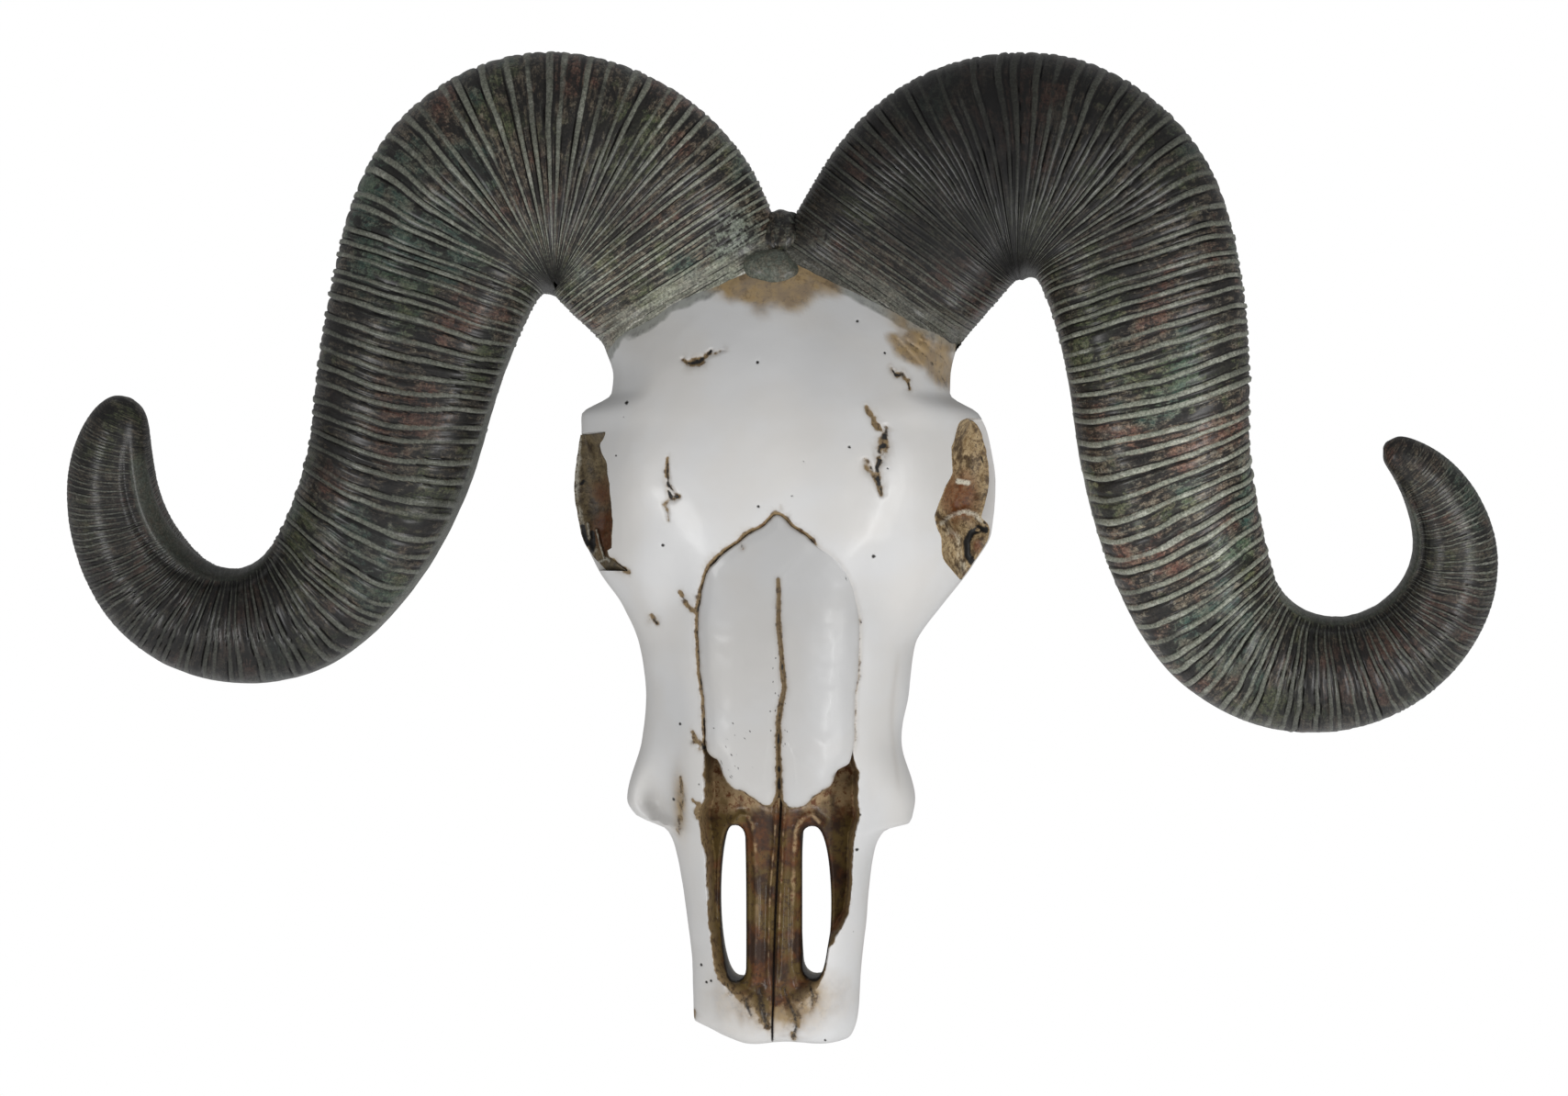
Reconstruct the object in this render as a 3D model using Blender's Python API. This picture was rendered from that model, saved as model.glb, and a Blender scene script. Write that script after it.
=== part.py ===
"""Ram's skull wall sculpture, cast in resin at life size.

Metres, +Z up. The sculpture hangs on a wall at Y = 0 and its face looks along -Y, so +X is on
the viewer's right. The origin is on the flat back, behind the horns. Tables hold millimetres.
"""

import math
from collections import namedtuple

import bmesh
import bpy
import numpy as np
from mathutils import Matrix, Vector

MM = 0.001
GAP = 0.3  # clearance between touching pieces, in millimetres

# Levels of the skull from the crown down. height is Z, left and right are the half-widths,
# side is how far the widest line stands off the wall, crest how far the midline does,
# and fullness is the power of the cross-section: 2 is round, more is boxier.
Level = namedtuple("Level", "height left right side crest fullness")
SKULL_LEVELS = {
    "crown": Level(34.0, 34.0, 33.0, 26.0, 50.0, 2.2),
    "horn seat": Level(15.0, 58.0, 56.0, 30.0, 64.0, 2.2),
    "temple top": Level(-11.0, 70.0, 69.0, 32.0, 81.0, 2.3),
    "temple": Level(-25.0, 66.3, 66.4, 32.0, 89.0, 2.3),
    "temple foot": Level(-32.0, 66.9, 66.3, 34.0, 92.0, 2.3),
    "brow": Level(-40.0, 78.3, 77.5, 36.0, 95.0, 2.2),
    "orbit top": Level(-48.0, 78.9, 81.2, 32.0, 97.0, 2.2),
    "orbit": Level(-68.0, 81.4, 84.1, 28.0, 98.5, 2.2),
    "orbit low": Level(-86.0, 78.8, 82.6, 28.0, 97.5, 2.2),
    "orbit foot": Level(-100.0, 72.9, 75.0, 30.0, 95.0, 2.2),
    "cheek": Level(-116.0, 62.3, 62.3, 30.0, 91.0, 2.2),
    "waist top": Level(-131.0, 56.3, 52.4, 28.0, 88.0, 2.3),
    "waist": Level(-150.0, 53.9, 50.2, 26.0, 83.5, 2.4),
    "waist low": Level(-168.0, 55.7, 47.2, 24.0, 80.0, 2.5),
    "flare": Level(-192.0, 61.6, 52.6, 20.0, 75.0, 2.5),
    "flare foot": Level(-198.0, 58.2, 51.6, 20.0, 72.5, 2.6),
    "flare corner": Level(-201.0, 51.4, 50.6, 21.0, 71.0, 2.7),
    "muzzle root": Level(-203.5, 46.0, 41.4, 22.0, 69.0, 2.8),
    "muzzle top": Level(-215.0, 41.4, 36.0, 24.0, 64.0, 3.0),
    "muzzle": Level(-240.0, 37.4, 33.4, 24.0, 58.0, 3.2),
    "muzzle low": Level(-258.0, 35.6, 31.0, 24.0, 54.0, 3.2),
    "tip": Level(-278.0, 35.2, 29.6, 24.0, 49.0, 3.0),
    "tip low": Level(-285.0, 34.6, 27.4, 22.0, 45.0, 2.8),
    "tip end": Level(-293.0, 32.0, 19.0, 18.0, 37.0, 2.6),
}
# The lower edge of the tip: a sharp corner on the left, then two lobes by a shallow notch.
TIP_EDGE = ((-60.0, -279.0), (-35.0, -280.0), (-30.0, -281.4), (-22.0, -284.6), (-12.0, -287.8),
            (2.0, -286.6), (17.0, -287.8), (25.0, -286.8), (60.0, -286.0))
FLAT_BACK = 0.82  # half-width of the flat back over the half-width of the level
LOFT_STEP = 9.0
FRONT_POINTS = 23
SIDE_POINTS = 3

# Swellings and hollows of the face: across, height, spread across, spread in height, rise.
Swelling = namedtuple("Swelling", "across height wide tall rise")
SWELLINGS = (
    Swelling(54.0, -62.0, 13.0, 20.0, 3.0),  # brow ridge over each eye
    Swelling(40.0, -113.0, 10.0, 14.0, -3.5),  # hollow before each eye
    Swelling(47.0, -150.0, 9.0, 20.0, -2.5),  # hollow above each cheek tooth row
    Swelling(50.0, -187.0, 8.0, 11.0, 3.0),  # end of each cheek tooth row
)

# Where the skull is parted, between the bones that a person would name.
FACE_PART = -109.0
MUZZLE_PART = -203.0

# Eye sockets: oval bowls that face sideways and a little forward.
SOCKET_HEIGHT = -75.5
SOCKET_ACROSS = {"left": -75.5, "right": 77.0}
SOCKET_STANDOFF = 53.5
SOCKET_RADII = (17.5, 23.0, 28.5)  # into the head, along the head, up
SOCKET_TURN = 24.0
LINING_WALL = 2.6
LINING_SET_BACK = -1.0

# Nasal bones: one plate with a pointed top and a scalloped foot, split below its middle.
NASAL_CENTRE = 1.2
NASAL_HALF_WIDTH = 31.4
NASAL_FOOT_NARROWING = 2.6
NASAL_COLUMNS = 18
NASAL_ROWS = 8
NASAL_APEX = -79.3
NASAL_SHOULDER = 42.0
NASAL_SHOULDER_POWER = 1.75
NASAL_CORNER = -169.5
NASAL_TIP_DROP = 23.0
NASAL_SCALLOPS = 5.5
NASAL_SCALLOP_DEPTH = 0.9
NASAL_THICKNESS = 6.0
NASAL_RISE = 0.5
NASAL_SLIT_TOP = -106.0
NASAL_SLIT_WIDTH = 1.0

# Nasal opening and its floor, which has two slots right through and a double ridge.
OPENING_TOP = -158.0
OPENING_FOOT = -268.5
OPENING_LEVELS = ((-158.0, -25.0, 26.0), (-190.0, -28.6, 29.6), (-225.0, -28.2, 27.6),
                  (-247.0, -26.6, 21.5), (-262.0, -21.0, 17.0), (-268.5, -11.0, 9.0))
FLOOR_STANDOFF = 41.0
Slot = namedtuple("Slot", "top foot straight bulge")
SLOTS = {
    "left": Slot(-200.8, -262.3, -13.4, -10.4),
    "right": Slot(-201.0, -261.2, 8.6, 11.2),
}
SLOT_DRAFT = 2.4
RIDGE_ACROSS = 2.9
RIDGE_RADIUS = 2.1
RIDGE_TOP = -190.0
RIDGE_FOOT = -284.0
RIM_RADIUS = 1.6

# Horns. bends are (length, turn in degrees) along the centreline from the root, seen from the
# front with outwards as +X. girth, standoff and flatness are read at shares of that length.
Horn = namedtuple("Horn", "side start heading bends girth")
HORNS = {
    "left": Horn(
        side=-1,
        start=(35.9, 10.5),
        heading=59.5,
        bends=((30.5, -6.5), (56.0, -73.5), (42.5, -50.0), (66.0, -8.0), (74.0, 29.0), (78.5, 103.0), (75.5, 69.0)),
        girth=((0, 41.0), (0.06, 45.6), (0.12, 46.8), (0.18, 48.8), (0.24, 46.0), (0.3, 40.5), (0.38, 36.7),
               (0.46, 33.9), (0.56, 30.1), (0.66, 25.4), (0.74, 22.2), (0.82, 21.5), (0.88, 19.3), (0.94, 16.1),
               (0.97, 12.8), (0.985, 10.2), (0.995, 6.8), (1, 2.4)),
    ),
    "right": Horn(
        side=1,
        start=(37.7, 11.5),
        heading=55.5,
        bends=((33.0, -2.5), (101.0, -126.0), (61.0, -14.5), (78.0, 21.0), (115.5, 130.0), (29.5, 43.0), (43.0, 47.0)),
        girth=((0, 43.8), (0.12, 43.8), (0.18, 43.8), (0.24, 41.2), (0.3, 38.2), (0.38, 35.5), (0.46, 32.9),
               (0.56, 30.0), (0.66, 25.2), (0.74, 21.6), (0.82, 18.6), (0.88, 16.3), (0.94, 12.5), (0.98, 8.2),
               (0.993, 5.8), (1, 1.8)),
    ),
}
HORN_STANDOFF = ((0, 36.0), (0.2, 43.0), (0.36, 47.5), (0.5, 38.5), (0.64, 28.0), (0.8, 34.0), (1, 60.0))
HORN_FLATNESS = ((0, 0.74), (0.3, 0.76), (0.5, 0.88), (0.75, 0.98), (1, 1.0))
TIP_START = 0.975  # where the last ridge ends and the point rounds off
BEND_EASE = 16.0  # length over which one bend runs into the next
PATH_STEP = 1.0
ROOT_SUNK = 26.0  # how far the tube runs back past its root before the oblique seat cuts it
HORN_SIDES = 14
SECTION_POWER = ((0, 3.3), (0.15, 2.9), (0.35, 2.4), (0.7, 2.1), (1, 2.0))  # 2 is oval, more is boxier
RIDGE_PITCH = ((0, 4.3), (0.3, 4.3), (0.5, 5.5), (0.7, 4.5), (0.85, 2.6), (1, 2.0))
RIDGES_FEWER = 2.6  # the solids carry fewer ridges than the finished horn
RIDGE_HALF_WIDTH = 0.3  # of the distance between two ridges
RIDGE_RISE = ((0, 1.2), (0.35, 1.3), (0.7, 1.1), (0.9, 0.7), (1, 0.3))
OUTER_RIDGES = ((0, 1.0), (0.5, 0.9), (0.62, 0.2), (1, 0.2))
INNER_RIDGES = ((0, 0.3), (0.32, 0.2), (0.4, 0.0), (0.68, 0.05), (0.78, 0.7), (1, 0.7))
HORN_LENGTHS = (("arch", 0.0, 0.375), ("shaft", 0.375, 0.66), ("hook", 0.66, 1.0))

# Where horn meets bone: an oblique seat on each side of the midline.
SEAT_MIDDLE_HEIGHT = 15.0
SEAT_OUTER = (70.5, -13.5)
SEAT_REACH = 84.0  # how far out the bone can reach under the horns

BOSS_CENTRE = (-2.8, -58.0, 15.4)
BOSS_RADII = (12.0, 9.5, 6.8)

# Hanger let into the back.
HANGER_HEIGHT = -24.0
STRIP_SIZE = (46.0, 9.0, 0.6)
STRIP_STANDOFF = 1.2
STRIP_TEETH = 9
TOOTH_DEPTH = 1.8
PIN_ACROSS = 19.5
PIN_HEAD = (2.4, 0.8)
PIN_SHANK = (0.9, 9.0)
RECESS = (51.0, 14.0, 2.1)
NAIL_POCKET = (28.0, 11.0, 6.0)

FAR = 250.0  # longer than anything that a cutter has to pass


def clear_scene():
    """Removes the objects that the file opened with."""
    for item in list(bpy.data.objects):
        bpy.data.objects.remove(item)


def make_collection(name):
    """A new collection in the scene."""
    group = bpy.data.collections.new(name)
    bpy.context.scene.collection.children.link(group)
    return group


def make_material(name, colour, roughness, metallic=0.0):
    """A Principled material of one finish."""
    material = bpy.data.materials.new(name)
    material.use_nodes = True
    shader = material.node_tree.nodes["Principled BSDF"]
    shader.inputs["Base Color"].default_value = (*colour, 1.0)
    shader.inputs["Roughness"].default_value = roughness
    shader.inputs["Metallic"].default_value = metallic
    return material


def eased(table, at):
    """Reads a table of (place, value) pairs on a smooth curve through them, without overshoot."""
    places = np.array([row[0] for row in table], float)
    values = np.array([row[1] for row in table], float)
    steps = np.diff(places)
    slopes = np.diff(values) / steps
    tangents = np.zeros(len(places))
    for i in range(1, len(places) - 1):
        if slopes[i - 1] * slopes[i] > 0:
            near, far = 2 * steps[i] + steps[i - 1], steps[i] + 2 * steps[i - 1]
            tangents[i] = (near + far) / (near / slopes[i - 1] + far / slopes[i])
    tangents[0], tangents[-1] = slopes[0], slopes[-1]
    at = np.clip(np.asarray(at, float), places[0], places[-1])
    i = np.clip(np.searchsorted(places, at, side="right") - 1, 0, len(steps) - 1)
    u = (at - places[i]) / steps[i]
    return (
        values[i] * (1 + 2 * u) * (1 - u) ** 2
        + tangents[i] * steps[i] * u * (1 - u) ** 2
        + values[i + 1] * u**2 * (3 - 2 * u)
        + tangents[i + 1] * steps[i] * u**2 * (u - 1)
    )


def level_value(field, height):
    """A field of the skull's levels at any height."""
    rows = sorted((level.height, getattr(level, field)) for level in SKULL_LEVELS.values())
    return eased(rows, height)


def swell(across, height):
    """Rise of the face's swellings and hollows, the same on both sides."""
    rise = 0.0
    for s in SWELLINGS:
        rise = rise + s.rise * np.exp(
            -(((np.abs(across) - s.across) / s.wide) ** 2) - ((height - s.height) / s.tall) ** 2
        )
    return rise


def face_standoff(across, height):
    """How far the front of the skull stands off the wall."""
    half = np.where(across < 0, level_value("left", height), level_value("right", height))
    share = np.clip(np.abs(across) / half, 0.0, 1.0)
    side, crest = level_value("side", height), level_value("crest", height)
    dome = (1.0 - share ** level_value("fullness", height)) ** 0.5
    return side + (crest - side) * dome + swell(across, height) * np.clip(4.0 * (1.0 - share), 0.0, 1.0)


def skull_ring(height):
    """One closed section of the skull: round the front, down the sides and across the flat back."""
    left, right = float(level_value("left", height)), float(level_value("right", height))
    side = float(level_value("side", height))
    ring = []
    for turn in np.linspace(0.0, math.pi, FRONT_POINTS):
        half = right if turn < math.pi / 2 else left
        across = half * math.cos(turn)
        ring.append((across, -float(face_standoff(across, height)), height))
    for half, hand in ((left, -1), (right, 1)):
        shares = [k / SIDE_POINTS for k in range(1, SIDE_POINTS + 1)]
        down = [
            (
                hand * half * (1 - (1 - FLAT_BACK) * (1 - math.cos(share * math.pi / 2))),
                -side * (1 - math.sin(share * math.pi / 2)),
                height,
            )
            for share in shares
        ]
        ring += down if hand < 0 else down[::-1]
    return ring


def skin(rings):
    """A closed bmesh over rings of equally many points in millimetres, with flat ends."""
    count = len(rings[0])
    build = bmesh.new()
    verts = [build.verts.new(Vector(point) * MM) for ring in rings for point in ring]
    for first in range(0, len(verts) - count, count):
        for k in range(count):
            a, b = first + k, first + (k + 1) % count
            build.faces.new((verts[a], verts[b], verts[b + count], verts[a + count]))
    build.faces.new(verts[:count][::-1])
    build.faces.new(verts[-count:])
    bmesh.ops.recalc_face_normals(build, faces=build.faces)
    return build


def finish_mesh(build, name, material, group):
    """Writes a bmesh to a named object in a collection."""
    mesh = bpy.data.meshes.new(name)
    build.to_mesh(mesh)
    build.free()
    made = bpy.data.objects.new(name, mesh)
    if material:
        mesh.materials.append(material)
    group.objects.link(made)
    return made


def make_cutter(build, name, group):
    """A guide object that only cuts or clips others."""
    cutter = finish_mesh(build, name, None, group)
    cutter.hide_render = True
    cutter.display_type = "WIRE"
    return cutter


def box_cutter(name, low, high, group, turn=None):
    """A box between two corners, in millimetres, turned about the origin of the frame if asked."""
    build = bmesh.new()
    bmesh.ops.create_cube(build, size=1.0)
    size = Vector([high[k] - low[k] for k in range(3)])
    centre = Vector([(high[k] + low[k]) / 2 for k in range(3)])
    matrix = Matrix.Translation(centre * MM) @ Matrix.Diagonal((*(size * MM), 1.0))
    bmesh.ops.transform(build, matrix=(turn or Matrix.Identity(4)) @ matrix, verts=build.verts)
    return make_cutter(build, name, group)


def oval(centre, radii, turn=0.0, grow=0.0, rings=(16, 10)):
    """A bmesh ellipsoid, turned about the vertical by some degrees."""
    build = bmesh.new()
    bmesh.ops.create_uvsphere(build, u_segments=rings[0], v_segments=rings[1], radius=1.0)
    scale = Matrix.Diagonal((*[(r + grow) * MM for r in radii], 1.0))
    place = Matrix.Translation(Vector(centre) * MM)
    matrix = place @ Matrix.Rotation(math.radians(turn), 4, "Z") @ scale
    bmesh.ops.transform(build, matrix=matrix, verts=build.verts)
    return build


def pull(build, depth):
    """Closes an open sheet into a solid by pulling it towards the viewer, in millimetres."""
    pulled = bmesh.ops.extrude_face_region(build, geom=build.faces[:], use_keep_orig=True)["geom"]
    moved = [item for item in pulled if isinstance(item, bmesh.types.BMVert)]
    bmesh.ops.translate(build, verts=moved, vec=(0.0, -depth * MM, 0.0))
    bmesh.ops.recalc_face_normals(build, faces=build.faces)
    return build


def prism(outline, near, far):
    """A bmesh prism over an outline of (across, height) points, between two standoffs from the wall."""
    build = bmesh.new()
    build.faces.new([build.verts.new((x * MM, -near * MM, z * MM)) for x, z in outline])
    return pull(build, far - near)


def add_boolean(made, cutter, operation="DIFFERENCE"):
    """Cuts or clips an object with another, as a modifier that stays on it."""
    step = made.modifiers.new(cutter.name, "BOOLEAN")
    step.operation = operation
    step.object = cutter
    step.solver = "EXACT"


def bake_modifiers(made):
    """Replaces an object's mesh with what its modifiers make of it."""
    bpy.context.view_layer.update()
    graph = bpy.context.evaluated_depsgraph_get()
    mesh = bpy.data.meshes.new_from_object(made.evaluated_get(graph))
    made.modifiers.clear()
    made.data = mesh


def keep_largest_surface(made):
    """Drops loose scraps that a Boolean left, and keeps the largest closed surface."""
    build = bmesh.new()
    build.from_mesh(made.data)
    left = set(build.verts)
    groups = []
    while left:
        reached, front = set(), [left.pop()]
        while front:
            vert = front.pop()
            reached.add(vert)
            for edge in vert.link_edges:
                other = edge.other_vert(vert)
                if other in left:
                    left.discard(other)
                    front.append(other)
        groups.append(reached)
    largest = max(groups, key=len)
    scraps = [vert for group in groups if group is not largest for vert in group]
    bmesh.ops.delete(build, geom=scraps, context="VERTS")
    build.to_mesh(made.data)
    build.free()


def join_pieces(name, pieces, material, group):
    """One closed body out of several overlapping ones."""
    first, rest = pieces[0], pieces[1:]
    joined = bpy.data.collections.new(name + " pieces")
    bpy.context.scene.collection.children.link(joined)
    for piece in rest:
        joined.objects.link(piece)
    step = first.modifiers.new("join", "BOOLEAN")
    step.operation = "UNION"
    step.operand_type = "COLLECTION"
    step.collection = joined
    step.solver = "EXACT"
    bake_modifiers(first)
    for piece in rest:
        bpy.data.objects.remove(piece)
    bpy.data.collections.remove(joined)
    keep_largest_surface(first)
    first.name = name
    first.data.materials.clear()
    first.data.materials.append(material)
    if first.name not in group.objects:
        group.objects.link(first)
    return first


def shade_round(made, angle=40.0):
    """Smooth shading with sharp edges kept."""
    made.data.shade_smooth()
    made.data.set_sharp_from_angle(angle=math.radians(angle))


def skull_rings():
    """Sections of the whole skull: one at each level, and more where two levels are far apart."""
    stops = sorted(level.height for level in SKULL_LEVELS.values())
    heights = []
    for low, high in zip(stops, stops[1:]):
        steps = math.ceil((high - low) / LOFT_STEP)
        heights += [low + (high - low) * k / steps for k in range(steps)]
    return [skull_ring(height) for height in heights + stops[-1:]]


def make_skull_block(name, low, high, material, group, guides):
    """A block of the skull between two heights, with flat ends where it meets the next."""
    block = finish_mesh(skin(skull_rings()), name, material, group)
    half = GAP / 2
    guide = box_cutter(name + " block", (-FAR, -FAR, low + half), (FAR, FAR, high - half), guides)
    add_boolean(block, guide, "INTERSECT")
    return block


def seat_cutter(name, reach, limit, shift, group):
    """A prism to one side of the two oblique seats that part the horns from the bone."""
    fall = (SEAT_MIDDLE_HEIGHT - SEAT_OUTER[1]) / SEAT_OUTER[0]
    middle = SEAT_MIDDLE_HEIGHT + shift * math.hypot(1.0, fall)
    outer = middle - fall * reach
    outline = [(-reach, outer), (0.0, middle), (reach, outer), (reach, limit), (-reach, limit)]
    return make_cutter(prism(outline, -5.0, FAR), name, group)


def horn_path(horn):
    """The centreline from the sunk root to the tip: shares of the length, points and in-plane headings."""
    lengths = [length for length, _ in horn.bends]
    total = sum(lengths)
    ends = np.concatenate([[0.0], np.cumsum(lengths)])
    turned = np.radians(horn.heading + np.concatenate([[0.0], np.cumsum([turn for _, turn in horn.bends])]))
    distance = np.arange(-ROOT_SUNK, total + PATH_STEP, PATH_STEP)
    eases = np.linspace(-BEND_EASE / 2, BEND_EASE / 2, 9)
    heading = np.mean([np.interp(distance + ease, ends, turned) for ease in eases], axis=0)
    across = np.cumsum(np.cos(heading)) * PATH_STEP
    height = np.cumsum(np.sin(heading)) * PATH_STEP
    across += horn.start[0] - np.interp(0.0, distance, across)
    height += horn.start[1] - np.interp(0.0, distance, height)
    share = distance / total
    points = np.stack([across, -eased(HORN_STANDOFF, share), height], axis=1)
    return share, points, heading, total


def horn_section(horn, share, points, heading, at, rise):
    """One ring of the horn at a share of its length, raised by a ridge."""
    centre = np.array([np.interp(at, share, points[:, k]) for k in range(3)])
    slope = np.interp(at, share, np.gradient(points[:, 1], PATH_STEP))
    turn = np.interp(at, share, heading)
    along = np.array([math.cos(turn), slope, math.sin(turn)])
    along /= np.linalg.norm(along)
    outward = np.array([-math.sin(turn), 0.0, math.cos(turn)])
    forward = np.array([0.0, -1.0, 0.0]) + along * along[1]
    forward /= np.linalg.norm(forward)
    half = float(eased(horn.girth, at))
    deep = half * float(eased(HORN_FLATNESS, at))
    power = float(eased(SECTION_POWER, at))
    ring = []
    for k in range(HORN_SIDES):
        turn_k = 2 * math.pi * k / HORN_SIDES
        c, s = math.cos(turn_k), math.sin(turn_k)
        edge = float(eased(OUTER_RIDGES if c > 0 else INNER_RIDGES, at))
        lift = rise * (1.0 + (edge - 1.0) * abs(c) ** 3)
        reach = (abs(c) ** power + abs(s) ** power) ** (-1 / power)
        point = centre + outward * c * (half * reach + lift) + forward * s * (deep * reach + lift)
        ring.append((horn.side * point[0], point[1], point[2]))
    return ring


def ridge_stops(total, first, last):
    """Rings of the ridges between two shares of a horn's length, as (share, rise) pairs."""
    stops, at = [], 0.0
    while at < last:
        pitch = float(eased(RIDGE_PITCH, at)) * RIDGES_FEWER / total
        half = pitch * RIDGE_HALF_WIDTH
        if at - half > first + 0.004 and at + half < min(last - 0.004, TIP_START):
            stops += [(at - half, 0.0), (at, float(eased(RIDGE_RISE, at))), (at + half, 0.0)]
        at += pitch
    return stops


def make_horn_length(name, horn, first, last, material, group):
    """One length of a horn, with its ridges, between two shares of the centreline."""
    share, points, heading, total = horn_path(horn)
    start = -ROOT_SUNK / total if first == 0.0 else first + GAP / 2 / total
    end = last if last == 1.0 else last - GAP / 2 / total
    stops = [(start, 0.0)] + ridge_stops(total, first, last) + [(end, 0.0)]
    if last == 1.0:
        stops[-1:-1] = [(row[0], 0.0) for row in horn.girth if TIP_START < row[0] < 1.0]
    rings = [horn_section(horn, share, points, heading, at, rise) for at, rise in stops]
    return finish_mesh(skin(rings), name, material, group)


def make_horns(material, boss_pocket, group, guides):
    """Both horns, each in three lengths, the first seated on the bone and parted at the midline."""
    half = GAP / 2
    seat = seat_cutter("bone under horns", SEAT_REACH, -60.0, half, guides)
    for side, horn in HORNS.items():
        low, high = (-half, FAR) if horn.side < 0 else (-FAR, half)
        middle = box_cutter(f"{side} of midline", (low, -FAR, -FAR), (high, FAR, FAR), guides)
        for length_name, first, last in HORN_LENGTHS:
            made = make_horn_length(f"horn_{side}_{length_name}", horn, first, last, material, group)
            if length_name == "arch":
                add_boolean(made, seat)
                add_boolean(made, middle)
                add_boolean(made, boss_pocket)
            shade_round(made)


def nasal_outline(share):
    """Top and foot height of the nasal plate at a share of its half-width, from -1 to 1."""
    reach = abs(share)
    top = NASAL_APEX - NASAL_SHOULDER * reach**NASAL_SHOULDER_POWER
    bow = (1 - reach**2.4) ** 0.75
    ripple = NASAL_SCALLOP_DEPTH * math.cos(NASAL_SCALLOPS * 2 * math.pi * reach)
    notch = 2.2 * math.exp(-((reach / 0.06) ** 2))
    foot = NASAL_CORNER - NASAL_TIP_DROP * bow + ripple * (1 - reach) + notch
    return top, foot


def nasal_sheet(grow, rise):
    """The nasal plate's front as an open bmesh, following the face's own curve."""
    build = bmesh.new()
    bmesh.ops.create_grid(build, x_segments=NASAL_COLUMNS, y_segments=NASAL_ROWS, size=1.0)
    for vert in build.verts:
        share, along = vert.co.x, (1 - vert.co.y) / 2
        top, foot = nasal_outline(share)
        height = (top + grow) * (1 - along) + (foot - grow) * along
        narrowing = NASAL_FOOT_NARROWING * min(max((-height - 130.0) / 40.0, 0.0), 1.0)
        across = NASAL_CENTRE + share * (NASAL_HALF_WIDTH - narrowing + grow)
        vert.co = Vector((across, -float(face_standoff(across, height)) - rise, height)) * MM
    return build


def opening_outline(shrink=0.0):
    """The nasal opening's outline, in (across, height) points, from its top left round."""
    left = [(row[1] + shrink, row[0]) for row in OPENING_LEVELS]
    right = [(row[2] - shrink, row[0]) for row in OPENING_LEVELS][::-1]
    outline = left + right
    lowest, highest = OPENING_FOOT, OPENING_TOP
    return [(x, min(max(z, lowest + shrink), highest - shrink)) for x, z in outline]


def slot_outline(slot, draft=0.0, steps=12):
    """A slot: straight towards the midline, bulging away from it, with round ends. Draft widens it."""
    middle, half = (slot.top + slot.foot) / 2, (slot.top - slot.foot) / 2
    hand = math.copysign(1.0, slot.bulge)
    bulging, straight = [], []
    for k in range(steps + 1):
        turn = math.pi * k / steps
        height = middle + (half + draft) * math.cos(turn)
        out = slot.bulge * (0.12 + 0.88 * math.sin(turn) ** 0.8)
        bulging.append((slot.straight + out + hand * draft * math.sin(turn), height))
    for k in range(1, steps):
        turn = math.pi * k / steps
        height = middle - (half + draft) * math.cos(turn)
        out = slot.bulge * 0.12 * (1 - math.sin(turn) ** 0.35)
        straight.append((slot.straight + out - hand * draft * math.sin(turn), height))
    return bulging + straight


def slot_cutter(name, slot, group):
    """A slot right through the floor, widening towards the wall as a cast one does."""
    rings = [
        [(x, -stand, z) for x, z in slot_outline(slot, draft)]
        for stand, draft in ((FAR, 0.0), (FLOOR_STANDOFF - 2.0, 0.0), (-5.0, SLOT_DRAFT))
    ]
    return make_cutter(skin(rings), name, group)


def bar(points, radius, name, group):
    """A round bar through points in millimetres, as a mesh with welded caps."""
    data = bpy.data.curves.new(name, "CURVE")
    data.dimensions = "3D"
    data.bevel_depth = radius * MM
    data.bevel_resolution = 1
    data.use_fill_caps = True
    line = data.splines.new("POLY")
    line.points.add(len(points) - 1)
    for spot, point in zip(line.points, points):
        spot.co = (*[value * MM for value in point], 1.0)
    made = bpy.data.objects.new(name, data)
    group.objects.link(made)
    bpy.context.view_layer.update()
    graph = bpy.context.evaluated_depsgraph_get()
    mesh = bpy.data.meshes.new_from_object(made.evaluated_get(graph))
    build = bmesh.new()
    build.from_mesh(mesh)
    bmesh.ops.remove_doubles(build, verts=build.verts, dist=0.00001)
    bmesh.ops.recalc_face_normals(build, faces=build.faces)
    bpy.data.objects.remove(made)
    return finish_mesh(build, name, None, group)


def make_nasal_floor(material, group, guides):
    """The floor of the nasal opening: a plug with two slots, a rim by each and a double ridge."""
    plug = finish_mesh(prism(opening_outline(GAP), 0.0, FLOOR_STANDOFF), "nasal_floor", material, group)
    pieces = [plug]
    for hand in (-1, 1):
        across = hand * RIDGE_ACROSS - 1.0
        line = [(across, -FLOOR_STANDOFF, RIDGE_TOP), (across, -FLOOR_STANDOFF - 1.0, -230.0),
                (across - 0.6, -FLOOR_STANDOFF, OPENING_FOOT + 3.0)]
        pieces.append(bar(line, RIDGE_RADIUS, "ridge", group))
    for slot in SLOTS.values():
        hand = math.copysign(1.0, slot.bulge)
        across = slot.straight - hand * (RIM_RADIUS + 0.4)
        line = [(across + hand * 5.0, -FLOOR_STANDOFF, slot.top + 3.0), (across, -FLOOR_STANDOFF, slot.top - 1.0),
                (across, -FLOOR_STANDOFF, slot.foot + 1.0)]
        pieces.append(bar(line, RIM_RADIUS, "rim", group))
    floor = join_pieces("nasal_floor", pieces, material, group)
    for side, slot in SLOTS.items():
        add_boolean(floor, slot_cutter(f"{side} slot", slot, guides))
    shade_round(floor)
    return floor


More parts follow.
